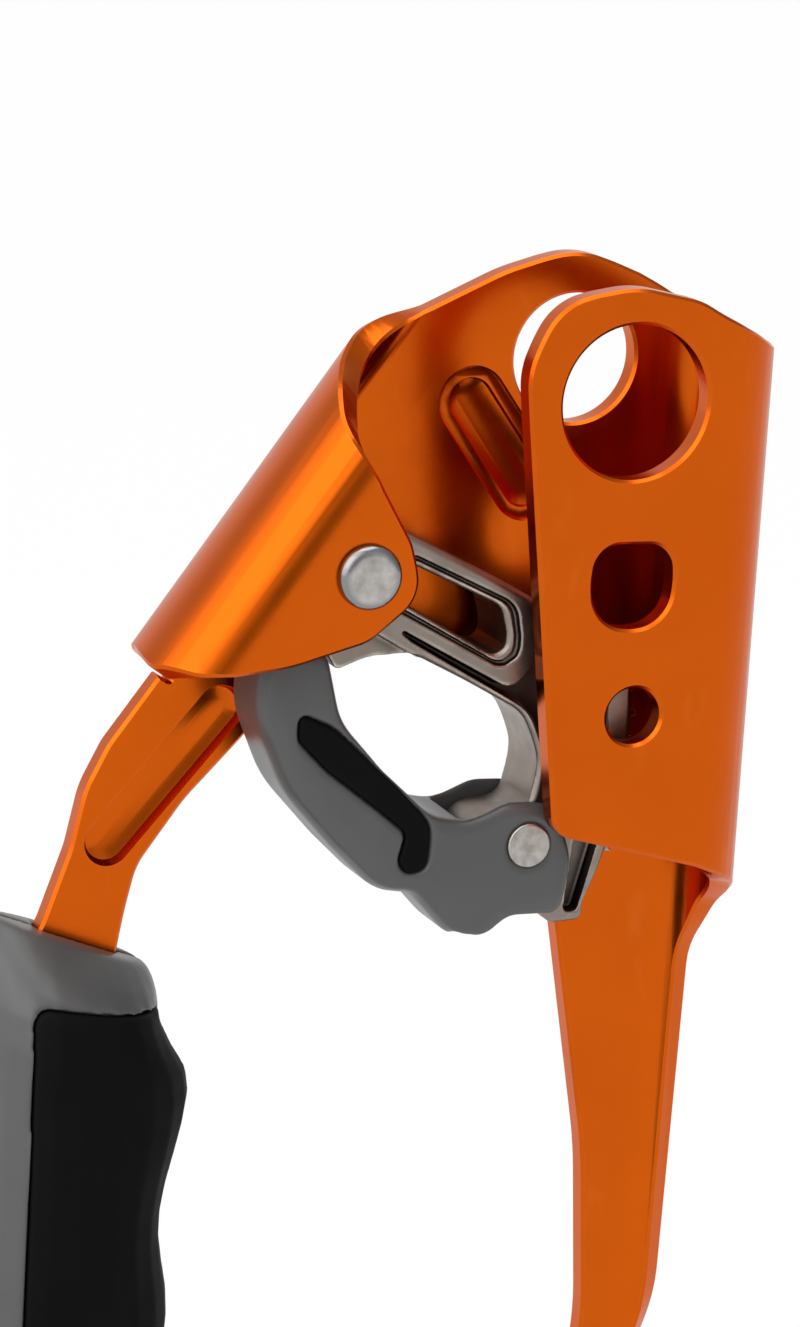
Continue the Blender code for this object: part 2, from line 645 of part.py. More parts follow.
# The lever is a moulded hook; its right end is a fork that straddles the cam's tail.
lever_outside = [
    (-50.4, -28.1, 3.4),
    (-51.3, -36.0, 10.0),
    (-47.4, -44.9, 14.0),
    (-41.0, -51.8, 20.0),
    (-35.6, -56.9, 6.0),
    (-31.4, -57.3, 3.0),
    (-26.4, -62.6, 4.4),
    (-22.2, -63.2, 3.4),
    (-19.4, -60.8, 2.6),
]
lever_outline = [
    (-43.6, -28.1, 2.5),
    *lever_outside,
    (-13.2, -60.6, 2.4),
    (-12.2, -53.6, 6.0),
    (-14.6, -46.8, 3.0),
    (-20.8, -46.7, 3.0),
    (-25.6, -48.8, 6.0),
    (-29.8, -48.0, 5.0),
    (-36.0, -42.5, 14.0),
    (-41.4, -36.6, 8.0),
]
lever = object_of("lever", slab(
    [rounded(lever_outline, 4)], -LEVER_HALF, LEVER_HALF, LEVER_INNER_ROUND), nylon)
outer_round = [*lever_outside, (-4.0, -60.8, 3.0), (-4.0, -20.0, 3.0), (-51.0, -20.0, 3.0)]
combine(lever, object_of("outer round", slab(
    [rounded(outer_round, 4)], -LEVER_HALF, LEVER_HALF, LEVER_ROUND, 0.02)), "INTERSECT")
swing = 7.9
fork = rounded([
    (LEVER_PIN[0] - swing, LEVER_PIN[1] + 30.0, 0.0),
    (LEVER_PIN[0] + 30.0, LEVER_PIN[1] + 30.0, 0.0),
    (LEVER_PIN[0] + 30.0, LEVER_PIN[1] - 30.0, 0.0),
    (LEVER_PIN[0] - swing, LEVER_PIN[1] - 30.0, 0.0),
])
combine(lever, object_of("fork slot", slab([fork], -FORK_HALF, FORK_HALF)), "DIFFERENCE")
lever_head = LEVER_HEAD_D / 2
sunk = LEVER_HALF - 0.7
combine(lever, object_of("lever bore", turned(
    [(0, -20), (lever_head + FIT, -20), (lever_head + FIT, -sunk), (lever_pin + PLAY, -sunk),
     (lever_pin + PLAY, sunk), (lever_head + FIT, sunk), (lever_head + FIT, 20), (0, 20)],
    LEVER_PIN, 26)), "DIFFERENCE")
inlay_outline = [
    (-46.8, -35.2, 0.8),
    (-42.4, -37.1, 6.0),
    (-34.4, -44.1, 14.0),
    (-29.9, -48.7, 4.0),
    (-30.2, -54.2, 1.5),
    (-33.0, -54.7, 1.2),
    (-33.9, -53.0, 0.8),
    (-33.1, -49.8, 1.2),
    (-36.5, -47.1, 4.0),
    (-43.2, -42.1, 10.0),
    (-46.7, -38.6, 1.0),
]
for side, name in ((-1, "lever_inlay_front"), (1, "lever_inlay_rear")):
    planes = sorted((side * (LEVER_HALF - INLAY_DEPTH), side * (LEVER_HALF + 3.0)))
    combine(lever, object_of(name + " seat", slab([rounded(inlay_outline, 3)], *planes)), "DIFFERENCE")
    planes = sorted((side * (LEVER_HALF - INLAY_DEPTH + 0.06), side * (LEVER_HALF - 0.05)))
    object_of(name, slab([rounded(inlay_outline, 3)], *planes, 0.3, -FIT, 0), rubber)
hole = (LEVER_PIN[0], LEVER_PIN[1] + lever_coil)
combine(lever, object_of("spring hole", turned(
    [(0, FORK_HALF - 1), (LEVER_SPRING_WIRE / 2 + FIT, FORK_HALF - 1),
     (LEVER_SPRING_WIRE / 2 + FIT, FORK_HALF + 0.45), (0, FORK_HALF + 0.45)], hole, 10)), "DIFFERENCE")
settle(lever)
torsion_spring("lever_spring", LEVER_PIN, lever_coil, LEVER_SPRING_WIRE, lever_floor + LEVER_SPRING_WIRE,
               CAM_HALF - 0.4, -math.pi / 2, SPRING_TURNS - 0.5, lever_floor - 1.2, FORK_HALF + 0.3)
top = LEVER_HALF - 0.7 + 0.05
object_of("lever_rivet", turned(
    [(0, -LEVER_HALF - 0.1), (lever_head - 0.5, -LEVER_HALF - 0.1), (lever_head, -LEVER_HALF + 0.3),
     (lever_head, -top), (lever_pin, -top), (lever_pin, top), (lever_head, top),
     (lever_head, LEVER_HALF - 0.3), (lever_head - 0.5, LEVER_HALF + 0.1), (0, LEVER_HALF + 0.1)],
    LEVER_PIN, 28), bright_steel)


# The grip is an oval handle with a guard under the thumb and finger waves below it, cut with a
# leaning top and split along the bar.
def finger_wave(part):
    """How far the grip swells to the right at a share of its length, along a smooth line of stops."""
    for (start, low), (end, high) in zip(GRIP_WAVES, GRIP_WAVES[1:]):
        if part <= end:
            share = (part - start) / (end - start)
            return low + (high - low) * (0.5 - 0.5 * math.cos(math.pi * share))
    return 0.0


def grip_body(inset, sides=24):
    bm = bmesh.new()
    length = GRIP_TOP - GRIP_BOTTOM
    loops = []
    ends = [0.0, 0.006, 0.018, 0.036, 0.06, 0.085]
    stops = ends + [0.085 + 0.83 * step / 20 for step in range(1, 20)]
    stops += [1 - stop for stop in reversed(ends)]
    rings = len(stops) - 1
    for ring, part in enumerate(stops):
        z = GRIP_TOP - part * length
        swell = 1.0 + 0.10 * math.sin(math.pi * part)
        ends = min(part, 1 - part) * length
        corner = min(1.0, ends / GRIP_CORNER)
        ramp = 1.0 - max(0.0, 1.0 - ends / GRIP_RAMP) ** 1.7
        wide = GRIP_HALF_WIDTH * swell * (0.84 + 0.16 * math.sqrt(corner * (2.0 - corner))) - inset
        deep = GRIP_HALF_DEPTH * (0.94 + 0.06 * math.sin(math.pi * part)) * (0.32 + 0.68 * ramp) - inset
        shift = 1.2 * max(0.0, 1 - part * 6) ** 2
        wave = finger_wave(part)
        lean = GRIP_SHEAR * max(0.0, 1 - part * 4) ** 1.5 - 0.30 * max(0.0, part * 4 - 3) ** 1.5
        loop = []
        for side in range(sides):
            angle = 2 * math.pi * side / sides
            x = math.copysign(abs(math.cos(angle)) ** 0.85, math.cos(angle))
            y = math.copysign(abs(math.sin(angle)) ** 0.85, math.sin(angle))
            x = wide * x + wave * max(0.0, math.cos(angle))
            trim = inset if ring == 0 else -inset if ring == rings else 0.0
            loop.append(bm.verts.new((
                (GRIP_X + shift + x) * MM, (BAR_Y - 0.8 + deep * y) * MM, (z + lean * x - trim) * MM)))
        loops.append(loop)
    for upper, lower in zip(loops, loops[1:]):
        for side in range(sides):
            after = (side + 1) % sides
            bm.faces.new((upper[side], upper[after], lower[after], lower[side]))
    bm.faces.new(loops[0])
    bm.faces.new(loops[-1])
    bmesh.ops.recalc_face_normals(bm, faces=bm.faces)
    return bm


def block(low, high):
    bm = bmesh.new()
    bmesh.ops.create_cube(bm, size=1.0)
    for vert in bm.verts:
        for axis in range(3):
            vert.co[axis] = (low[axis] if vert.co[axis] < 0 else high[axis]) * MM
    return bm


bar_slot = [
    (-69.0, -52.0, 0.0),
    *NECK_LEFT[1:],
    (BAR_LEFT, -140.0, 0.0),
    (BAR_LEFT - 1.0, -162.0, 0.0),
    (BAR_RIGHT + 10.0, -162.0, 0.0),
    (BAR_RIGHT, -139.0, 0.0),
    *NECK_RIGHT,
    (-60.4, -52.0, 0.0),
]
pad_frame = [
    (GRIP_X - GRIP_HALF_WIDTH * 0.54, GRIP_TOP - 4.8, 1.8),
    (GRIP_X + 30.0, GRIP_TOP - 10.4, 0.0),
    (GRIP_X + 30.0, GRIP_BOTTOM + 8.0, 0.0),
    (GRIP_X - GRIP_HALF_WIDTH * 0.54, GRIP_BOTTOM + 8.0, 1.8),
]
core = object_of("grip core", grip_body(PAD_THICK + 0.1))
core_deep = object_of("grip core deep", grip_body(PAD_THICK))
split = 0.06
screw_seat = BAR_Y + PLATE / 2 + 4.0
insert_far = INNER - FIT - 0.3
insert_near = insert_far - 6.0
wells = []
sockets = []
for index, z in enumerate(SCREW_Z):
    centre = (GRIP_X, z)
    wells.append(object_of("screw well", turned(
        [(0, BAR_Y - 2), (SCREW_D / 2 + 0.25, BAR_Y - 2), (SCREW_D / 2 + 0.25, screw_seat),
         (SCREW_HEAD_D / 2 + 0.3, screw_seat), (SCREW_HEAD_D / 2 + 0.3, BAR_Y + 40), (0, BAR_Y + 40)],
        centre, 16)))
    sockets.append(object_of("insert socket", turned(
        [(0, insert_near - 1.5), (SCREW_D / 2 + 0.25, insert_near - 1.5),
         (SCREW_D / 2 + 0.25, insert_near - 0.06), (INSERT_D / 2 + 0.06, insert_near - 0.06),
         (INSERT_D / 2 + 0.06, BAR_Y + 1), (0, BAR_Y + 1)], centre, 16)))
    place = ("upper", "middle", "lower")[index]
    object_of("grip_insert_" + place, turned(
        [(SCREW_D / 2 + 0.08, insert_near), (INSERT_D / 2, insert_near), (INSERT_D / 2, insert_far),
         (SCREW_D / 2 + 0.08, insert_far)], centre, 16, closed=True), brass)
    crown = screw_seat + 2.4
    object_of("grip_screw_" + place, turned(
        [(0, insert_near + 0.5), (SCREW_D / 2 - 0.4, insert_near + 0.5), (SCREW_D / 2, insert_near + 0.9),
         (SCREW_D / 2, screw_seat + 0.05), (SCREW_HEAD_D / 2, screw_seat + 0.05),
         (SCREW_HEAD_D / 2, crown - 0.5), (SCREW_HEAD_D / 2 - 0.5, crown), (1.3, crown),
         (1.3, crown - 1.4), (0, crown - 1.4)], centre, 18),
        bright_steel)
for side, name in ((-1, "front"), (1, "rear")):
    shell = object_of("grip_shell_" + name, grip_body(0.0), nylon)
    far = sorted((BAR_Y + side * split, BAR_Y + side * 40))
    half = object_of("half " + name, block((-120, far[0], -200), (-20, far[1], 0)))
    combine(shell, half, "INTERSECT")
    combine(shell, object_of("bar slot " + name, slab(
        [rounded(bar_slot, 6)], INNER - FIT, OUTER + FIT, grow=FIT)), "DIFFERENCE")
    reach = sorted((BAR_Y + side * (PLATE / 2 + 3.2), BAR_Y + side * 40))
    seat_cut = object_of("pad seat " + name, slab([rounded(pad_frame, 5)], *reach, grow=FIT))
    combine(seat_cut, core, "DIFFERENCE")
    settle(seat_cut)
    combine(shell, seat_cut, "DIFFERENCE")
    for cutter in wells if side > 0 else sockets:
        combine(shell, cutter, "DIFFERENCE")
    pad = object_of("grip_pad_" + name, grip_body(0.0), rubber)
    reach = sorted((BAR_Y + side * (PLATE / 2 + 3.2 + FIT), BAR_Y + side * 40))
    combine(pad, object_of("pad edge " + name, slab([rounded(pad_frame, 5)], *reach)), "INTERSECT")
    combine(pad, core_deep, "DIFFERENCE")
    if side > 0:
        for cutter in wells:
            combine(pad, cutter, "DIFFERENCE")
    settle(pad)
    settle(shell)


# The moving pieces turn about their own origins: the cam and what rides on it about its
# rivet, the lever and its two inlays about the lever's rivet.
def hang(names, axis):
    for name in names:
        obj = bpy.data.objects[name]
        place = Vector((axis[0] * MM, 0.0, axis[1] * MM))
        obj.data.transform(Matrix.Translation(-place))
        obj.location = place


hang(("cam", "lever_rivet", "lever_spring"), PIVOT)
hang(("lever", "lever_inlay_front", "lever_inlay_rear"), LEVER_PIN)
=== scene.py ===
"""Handled ascender: the finish of every piece, the studio and the camera."""

import json
import math

import bmesh
import bpy
from mathutils import Matrix, Vector
from mathutils.kdtree import KDTree

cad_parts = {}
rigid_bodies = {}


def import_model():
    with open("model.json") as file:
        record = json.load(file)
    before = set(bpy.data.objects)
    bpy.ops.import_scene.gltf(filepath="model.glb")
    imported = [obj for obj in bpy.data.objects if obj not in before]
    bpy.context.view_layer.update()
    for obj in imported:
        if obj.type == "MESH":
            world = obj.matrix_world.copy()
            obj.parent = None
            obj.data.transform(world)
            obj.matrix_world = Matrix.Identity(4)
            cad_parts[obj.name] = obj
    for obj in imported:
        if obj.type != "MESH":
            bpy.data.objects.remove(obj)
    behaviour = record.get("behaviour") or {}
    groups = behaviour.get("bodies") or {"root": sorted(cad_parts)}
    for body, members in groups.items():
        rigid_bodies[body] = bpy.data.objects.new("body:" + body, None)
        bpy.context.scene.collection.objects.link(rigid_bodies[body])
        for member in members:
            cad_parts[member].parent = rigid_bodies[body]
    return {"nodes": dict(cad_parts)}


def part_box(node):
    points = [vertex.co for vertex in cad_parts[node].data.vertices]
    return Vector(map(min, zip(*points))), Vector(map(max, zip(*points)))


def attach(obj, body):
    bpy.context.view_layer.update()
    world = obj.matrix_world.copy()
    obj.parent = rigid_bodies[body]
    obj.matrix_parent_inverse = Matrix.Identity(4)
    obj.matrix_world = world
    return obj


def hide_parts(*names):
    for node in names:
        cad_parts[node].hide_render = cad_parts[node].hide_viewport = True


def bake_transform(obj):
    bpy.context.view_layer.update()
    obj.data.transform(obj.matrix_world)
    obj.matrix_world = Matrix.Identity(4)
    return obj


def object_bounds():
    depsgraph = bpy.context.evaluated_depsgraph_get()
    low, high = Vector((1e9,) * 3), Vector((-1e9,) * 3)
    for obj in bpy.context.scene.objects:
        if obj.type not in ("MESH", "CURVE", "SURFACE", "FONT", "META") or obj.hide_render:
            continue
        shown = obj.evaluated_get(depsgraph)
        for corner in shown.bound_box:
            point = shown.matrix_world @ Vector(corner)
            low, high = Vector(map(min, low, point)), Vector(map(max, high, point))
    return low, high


for old in list(bpy.data.objects):
    bpy.data.objects.remove(old)
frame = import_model()
nodes = frame["nodes"]
cad_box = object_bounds()


# ---------------------------------------------------------------------------------------------
# The frame is one 3 mm aluminium plate, cut flat, pressed with two stiffening beads, folded into
# the channel and the cam shell, tumbled to break its edges and anodised orange.
def joined(node, weld=2e-6, flat=0.5):
    """A copy of a CAD node's triangles, merged into whole faces."""
    bm = bmesh.new()
    bm.from_mesh(nodes[node].data)
    bmesh.ops.remove_doubles(bm, verts=bm.verts, dist=weld)
    bmesh.ops.dissolve_limit(
        bm, angle_limit=math.radians(flat), verts=bm.verts, edges=bm.edges)
    return bm


def eased(bm, cuts=3, least=38.0, most=100.0, corner=44.0, uneven=2.5, reach=0.0005):
    """Lays extra points on the edges that follow an outline, so that its curves are round."""
    outline = [edge for edge in bm.edges if len(edge.link_faces) == 2
               and math.radians(least) < edge.calc_face_angle(0.0) < math.radians(most)]
    marked = set(outline)

    def heading_out(edge, vert):
        """The curve's direction at one end of an edge, away from that edge."""
        out = (vert.co - edge.other_vert(vert).co).normalized()
        best, turn = None, math.radians(corner)
        for other in vert.link_edges:
            onward = other.other_vert(vert).co - vert.co
            if other in marked and other is not edge and out.angle(onward, math.pi) < turn:
                best, turn = other, out.angle(onward)
        if best is None:
            return out
        onward = (best.other_vert(vert).co - vert.co).normalized()
        here, there = edge.calc_length(), best.calc_length()
        if here > uneven * there:
            return out
        if there > uneven * here:
            return onward
        return (out * there + onward * here).normalized()

    moves = []
    for edge in outline:
        start, end = edge.verts
        length = edge.calc_length()
        leave, arrive = -heading_out(edge, start), heading_out(edge, end)
        for step in range(1, cuts + 1):
            s = step / (cuts + 1)
            on_line = start.co.lerp(end.co, s)
            on_curve = ((2 * s ** 3 - 3 * s ** 2 + 1) * start.co
                        + (s ** 3 - 2 * s ** 2 + s) * length * leave
                        + (3 * s ** 2 - 2 * s ** 3) * end.co
                        + (s ** 3 - s ** 2) * length * arrive)
            moves.append((on_line, on_curve - on_line))
    finder = KDTree(len(moves))
    for number, (on_line, _) in enumerate(moves):
        finder.insert(on_line, number)
    finder.balance()
    old = set(bm.verts)
    bmesh.ops.subdivide_edges(bm, edges=outline, cuts=cuts, use_grid_fill=True)
    for vert in bm.verts:
        if vert not in old:
            _, number, miss = finder.find(vert.co)
            if miss < 1e-6 and moves[number][1].length < reach:
                vert.co += moves[number][1]


def piece_of(bm, name):
    mesh = bpy.data.meshes.new(name)
    bm.to_mesh(mesh)
    bm.free()
    piece = bpy.data.objects.new(name, mesh)
    bpy.context.scene.collection.objects.link(piece)
    return piece


def apply_modifiers(piece):
    bpy.context.view_layer.update()
    graph = bpy.context.evaluated_depsgraph_get()
    mesh = bpy.data.meshes.new_from_object(piece.evaluated_get(graph))
    piece.modifiers.clear()
    piece.data = mesh


def broken_edges(node, name, width, segments=2, sharp=30.0):
    """A CAD node with an eased outline, rounded edges and folds that are shaded smooth."""
    bm = joined(node)
    eased(bm)
    for face in bm.faces:
        face.smooth = True
    for edge in bm.edges:
        edge.smooth = len(edge.link_faces) == 2 and edge.calc_face_angle(0.0) < math.radians(sharp)
    piece = piece_of(bm, name)
    round_over = piece.modifiers.new("round over", "BEVEL")
    round_over.width = width
    round_over.segments = segments
    round_over.limit_method = "ANGLE"
    round_over.angle_limit = math.radians(sharp)
    round_over.harden_normals = True
    apply_modifiers(piece)
    return piece


def fix(piece, body, material, slot, *replaced):
    """Gives a piece its finish, its body and the CAD nodes that it stands for."""
    piece.data.materials.clear()
    piece.data.materials.append(material)
    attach(piece, body)
    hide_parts(*replaced)


def add(tree, kind, inputs=None, **settings):
    """A node with its settings; an input takes a value, or a link from another node's socket."""
    made = tree.nodes.new(kind)
    for key, value in settings.items():
        setattr(made, key, value)
    for key, value in (inputs or {}).items():
        if isinstance(value, bpy.types.NodeSocket):
            tree.links.new(value, made.inputs[key])
        else:
            made.inputs[key].default_value = value
    return made


def group_of(name, inputs, outputs):
    """An empty shader group with named sockets; returns it with its input and output nodes."""
    group = bpy.data.node_groups.new(name, "ShaderNodeTree")
    for socket, value in inputs.items():
        kind = "NodeSocketVector" if isinstance(value, tuple) else "NodeSocketFloat"
        made = group.interface.new_socket(socket, in_out="INPUT", socket_type=kind)
        made.default_value = value
    for socket in outputs:
        group.interface.new_socket(socket, in_out="OUTPUT", socket_type="NodeSocketFloat")
    return group, group.nodes.new("NodeGroupInput"), group.nodes.new("NodeGroupOutput")


# Even grain from fine to cloudy: 0 to 1 around a middle of 0.5, stretched along an axis if asked.
grain_group, entry, leave = group_of(
    "grain",
    {"Scale": 100.0, "Stretch": (1.0, 1.0, 1.0), "Detail": 3.0, "Contrast": 1.0}, ["Value"])
where = add(grain_group, "ShaderNodeTexCoord")
drawn = add(grain_group, "ShaderNodeVectorMath",
            {0: where.outputs["Object"], 1: entry.outputs["Stretch"]}, operation="MULTIPLY")
cloud = add(grain_group, "ShaderNodeTexNoise",
            {"Vector": drawn.outputs[0], "Scale": entry.outputs["Scale"],
             "Detail": entry.outputs["Detail"], "Roughness": 0.55})
centred = add(grain_group, "ShaderNodeMath", {0: cloud.outputs["Fac"], 1: 0.5},
              operation="SUBTRACT")
spread = add(grain_group, "ShaderNodeMath",
             {0: centred.outputs[0], 1: entry.outputs["Contrast"], 2: 0.5},
             operation="MULTIPLY_ADD", use_clamp=True)
grain_group.links.new(spread.outputs[0], leave.inputs["Value"])

# Edge wear and sheen: 1 on a convex or concave edge, fading within the reach, broken up by patches.
# The finishes lighten their edges with it as wear, and the plate and the cam also as a painted
# highlight.
wear_sheen_group, entry, leave = group_of(
    "edge_wear_and_sheen", {"Reach": 0.0005, "Patch Scale": 300.0, "Amount": 1.0}, ["Mask"])
smooth_over = add(wear_sheen_group, "ShaderNodeBevel", {"Radius": entry.outputs["Reach"]}, samples=6)
surface = add(wear_sheen_group, "ShaderNodeNewGeometry")
turn = add(wear_sheen_group, "ShaderNodeVectorMath",
           {0: smooth_over.outputs[0], 1: surface.outputs["Normal"]}, operation="DOT_PRODUCT")
edge = add(wear_sheen_group, "ShaderNodeMapRange",
           {"Value": turn.outputs["Value"], "From Min": 0.985, "From Max": 0.88})
where = add(wear_sheen_group, "ShaderNodeTexCoord")
patch = add(wear_sheen_group, "ShaderNodeTexNoise",
            {"Vector": where.outputs["Object"], "Scale": entry.outputs["Patch Scale"],
             "Detail": 4.0})
broken = add(wear_sheen_group, "ShaderNodeMapRange",
             {"Value": patch.outputs["Fac"], "From Min": 0.36, "From Max": 0.62})
worn_and_lit = add(wear_sheen_group, "ShaderNodeMath", {0: edge.outputs[0], 1: broken.outputs[0]},
           operation="MULTIPLY")
share = add(wear_sheen_group, "ShaderNodeMath", {0: worn_and_lit.outputs[0], 1: entry.outputs["Amount"]},
            operation="MULTIPLY", use_clamp=True)
wear_sheen_group.links.new(share.outputs[0], leave.inputs["Mask"])


def start_finish(name, metallic):
    """A new material; returns it with its tree and its Principled shader."""
    made = bpy.data.materials.new(name)
    made.use_nodes = True
    shader = made.node_tree.nodes["Principled BSDF"]
    shader.inputs["Metallic"].default_value = metallic
    return made, made.node_tree, shader


def grain(tree, scale, contrast=1.0, stretch=(1.0, 1.0, 1.0), detail=3.0):
    made = add(tree, "ShaderNodeGroup", node_tree=grain_group)
    made.inputs["Scale"].default_value = scale
    made.inputs["Contrast"].default_value = contrast
    made.inputs["Stretch"].default_value = stretch
    made.inputs["Detail"].default_value = detail
    return made.outputs["Value"]


def wear_and_sheen_on_edges(tree, reach, patch_scale, amount):
    made = add(tree, "ShaderNodeGroup", node_tree=wear_sheen_group)
    made.inputs["Reach"].default_value = reach
    made.inputs["Patch Scale"].default_value = patch_scale
    made.inputs["Amount"].default_value = amount
    return made.outputs["Mask"]


def tint(tree, mask, low, high):
    """A colour that runs from one to the other with a mask; either may come from another node."""
    made = add(tree, "ShaderNodeMix", {"Factor": mask}, data_type="RGBA")
    for socket, value in ((made.inputs[6], low), (made.inputs[7], high)):
        if isinstance(value, bpy.types.NodeSocket):
            tree.links.new(value, socket)
        else:
            socket.default_value = (*value, 1.0)
    return made.outputs[2]


def between(tree, mask, low, high):
    """A value that runs from low to high with a mask."""
    made = add(tree, "ShaderNodeMapRange", {"Value": mask, "To Min": low, "To Max": high})
    return made.outputs[0]


def level(tree, mask, low, high):
    """A value that goes from low to high with a mask, where low may come from another node."""
    made = add(tree, "ShaderNodeMix", {"Factor": mask, 2: low, 3: high}, data_type="FLOAT")
    return made.outputs[0]


def bump(tree, shader, *layers):
    """Stacks height layers, each with its depth in metres, on the shader's normal."""
    normal = None
    for height, depth in layers:
        step = add(tree, "ShaderNodeBump", {"Height": height, "Distance": depth, "Strength": 1.0})
        if normal:
            tree.links.new(normal, step.inputs["Normal"])
        normal = step.outputs["Normal"]
    tree.links.new(normal, shader.inputs["Normal"])


ORANGE = (0.640, 0.104, 0.0026)
ORANGE_DEEP = (0.585, 0.091, 0.0018)
# A lighter orange for the plate's edges and scuffs: worn anodising, and along the edges a painted
# highlight.
ORANGE_EDGE = (0.700, 0.150, 0.0220)
SCUFFS_UPRIGHT = (1.0, 1.0, 0.4)
PLATE_EDGE = 0.00018
orange, tree, shader = start_finish("orange_anodising", 1.0)
smudge = grain(tree, 55.0, 1.6)
wear_and_sheen = wear_and_sheen_on_edges(tree, 0.0006, 420.0, 0.45)
scuff = add(tree, "ShaderNodeMapRange", {
    "Value": grain(tree, 260.0, 1.0, SCUFFS_UPRIGHT, 6.0),
    "From Min": 0.62, "From Max": 0.78, "To Max": 0.30})
# The edge mask and the scuffs take the dye towards the lighter orange; along the edges this paints
# a highlight as well as wear.
worn_and_lit = add(tree, "ShaderNodeMath", {0: wear_and_sheen, 1: scuff.outputs[0]}, operation="MAXIMUM").outputs[0]
dye = tint(tree, smudge, ORANGE_DEEP, ORANGE)
tree.links.new(tint(tree, worn_and_lit, dye, ORANGE_EDGE), shader.inputs["Base Color"])
satin = between(tree, grain(tree, 130.0, 1.8), 0.18, 0.28)
tree.links.new(level(tree, worn_and_lit, satin, 0.20), shader.inputs["Roughness"])
bump(tree, shader, (grain(tree, 3200.0, 1.0), 2.5e-6), (grain(tree, 420.0, 1.0), 5e-6))
shader.inputs["Specular Tint"].default_value = (0.90, 0.80, 0.76, 1.0)
shader.inputs["Coat Weight"].default_value = 0.06
shader.inputs["Coat Roughness"].default_value = 0.12
plate = broken_edges("frame", "frame_plate", PLATE_EDGE)
fix(plate, "frame", orange, "orange_anodised", "frame")


# ---------------------------------------------------------------------------------------------
# Three brass inserts are pressed warm into the front half of the grip; their knurled outsides
# keep them from turning when the screws are tightened.
def geometry_tree(name, inputs):
    """A Geometry Nodes tree; returns it, its end nodes and its inputs' identifiers."""
    tree = bpy.data.node_groups.new(name, "GeometryNodeTree")
    tree.interface.new_socket("Geometry", in_out="OUTPUT", socket_type="NodeSocketGeometry")
    kinds = {float: "NodeSocketFloat", int: "NodeSocketInt", tuple: "NodeSocketVector",
             bpy.types.Material: "NodeSocketMaterial", bpy.types.Object: "NodeSocketObject"}
    keys = {}
    for socket, kind in inputs.items():
        made = tree.interface.new_socket(socket, in_out="INPUT", socket_type=kinds[kind])
        keys[socket] = made.identifier
    return tree, tree.nodes.new("NodeGroupInput"), tree.nodes.new("NodeGroupOutput"), keys


def finish_tree(tree, entry, leave, geometry):
    """Ends a tree in plain mesh with its material set."""
    real = add(tree, "GeometryNodeRealizeInstances", {"Geometry": geometry})
    coated = add(tree, "GeometryNodeSetMaterial",
                 {"Geometry": real.outputs[0], "Material": entry.outputs["Material"]})
    tree.links.new(coated.outputs[0], leave.inputs["Geometry"])


def grown(name, tree, keys, values):
    """A piece made by a Geometry Nodes tree, turned into a plain mesh."""
    piece = piece_of(bmesh.new(), name)
    step = piece.modifiers.new("grow", "NODES")
    step.node_group = tree
    for socket, value in values.items():
        step[keys[socket]] = value
    apply_modifiers(piece)
    return piece


def middle_of(node):
    low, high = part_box(node)
    return (Vector(low) + Vector(high)) / 2


IN_A_ROW = 3


def pitch_of(kind):
    """The first place of a row of like nodes, and the step to the next."""
    first = middle_of(kind + "_upper")
    return first, (middle_of(kind + "_lower") - first) / (IN_A_ROW - 1)


def size_of(node):
    low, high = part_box(node)
    return Vector(high) - Vector(low)


brass, tree, shader = start_finish("knurled_brass", 1.0)
tree.links.new(tint(tree, grain(tree, 700.0, 1.5), (0.52, 0.34, 0.10), (0.64, 0.45, 0.16)),
               shader.inputs["Base Color"])
tree.links.new(between(tree, grain(tree, 300.0, 1.5), 0.26, 0.42), shader.inputs["Roughness"])
bump(tree, shader, (grain(tree, 2500.0, 1.0, (1.0, 6.0, 1.0)), 4e-6))

insert_tree, entry, leave, insert_keys = geometry_tree("knurled_inserts", {
    "Radius": float, "Wall": float, "Length": float, "Knurls": int, "Knurl Depth": float,
    "First": tuple, "Step": tuple, "Material": bpy.types.Material})
ring = add(insert_tree, "GeometryNodeCurvePrimitiveCircle",
           {"Resolution": entry.outputs["Knurls"], "Radius": entry.outputs["Radius"]})
number = add(insert_tree, "GeometryNodeInputIndex")
every_other = add(insert_tree, "ShaderNodeMath", {0: number.outputs[0], 1: 2.0}, operation="MODULO")
cut = add(insert_tree, "ShaderNodeMath",
          {0: every_other.outputs[0], 1: entry.outputs["Knurl Depth"]}, operation="MULTIPLY")
inward = add(insert_tree, "ShaderNodeMath", {0: cut.outputs[0], 1: -1.0}, operation="MULTIPLY")
point = add(insert_tree, "GeometryNodeInputPosition")
outward = add(insert_tree, "ShaderNodeVectorMath", {0: point.outputs[0]}, operation="NORMALIZE")
valley = add(insert_tree, "ShaderNodeVectorMath",
             {0: outward.outputs[0], "Scale": inward.outputs[0]}, operation="SCALE")
knurled = add(insert_tree, "GeometryNodeSetPosition",
              {"Geometry": ring.outputs[0], "Offset": valley.outputs[0]})
section = add(insert_tree, "GeometryNodeCurvePrimitiveQuadrilateral",
              {"Width": entry.outputs["Wall"], "Height": entry.outputs["Length"]})
sleeve = add(insert_tree, "GeometryNodeCurveToMesh",
             {"Curve": knurled.outputs[0], "Profile Curve": section.outputs[0]})
across_plate = add(insert_tree, "GeometryNodeTransform",
                   {"Geometry": sleeve.outputs[0], "Rotation": (math.pi / 2, 0.0, 0.0)})
row = add(insert_tree, "GeometryNodeMeshLine",
          {"Count": IN_A_ROW, "Start Location": entry.outputs["First"],
           "Offset": entry.outputs["Step"]})
set_in = add(insert_tree, "GeometryNodeInstanceOnPoints",
             {"Points": row.outputs[0], "Instance": across_plate.outputs[0]})
finish_tree(insert_tree, entry, leave, set_in.outputs[0])
first, step = pitch_of("grip_insert")
insert_size = size_of("grip_insert_upper")
INSERT_WALL = 0.00064
KNURLS = 48
KNURL_DEPTH = 0.0001
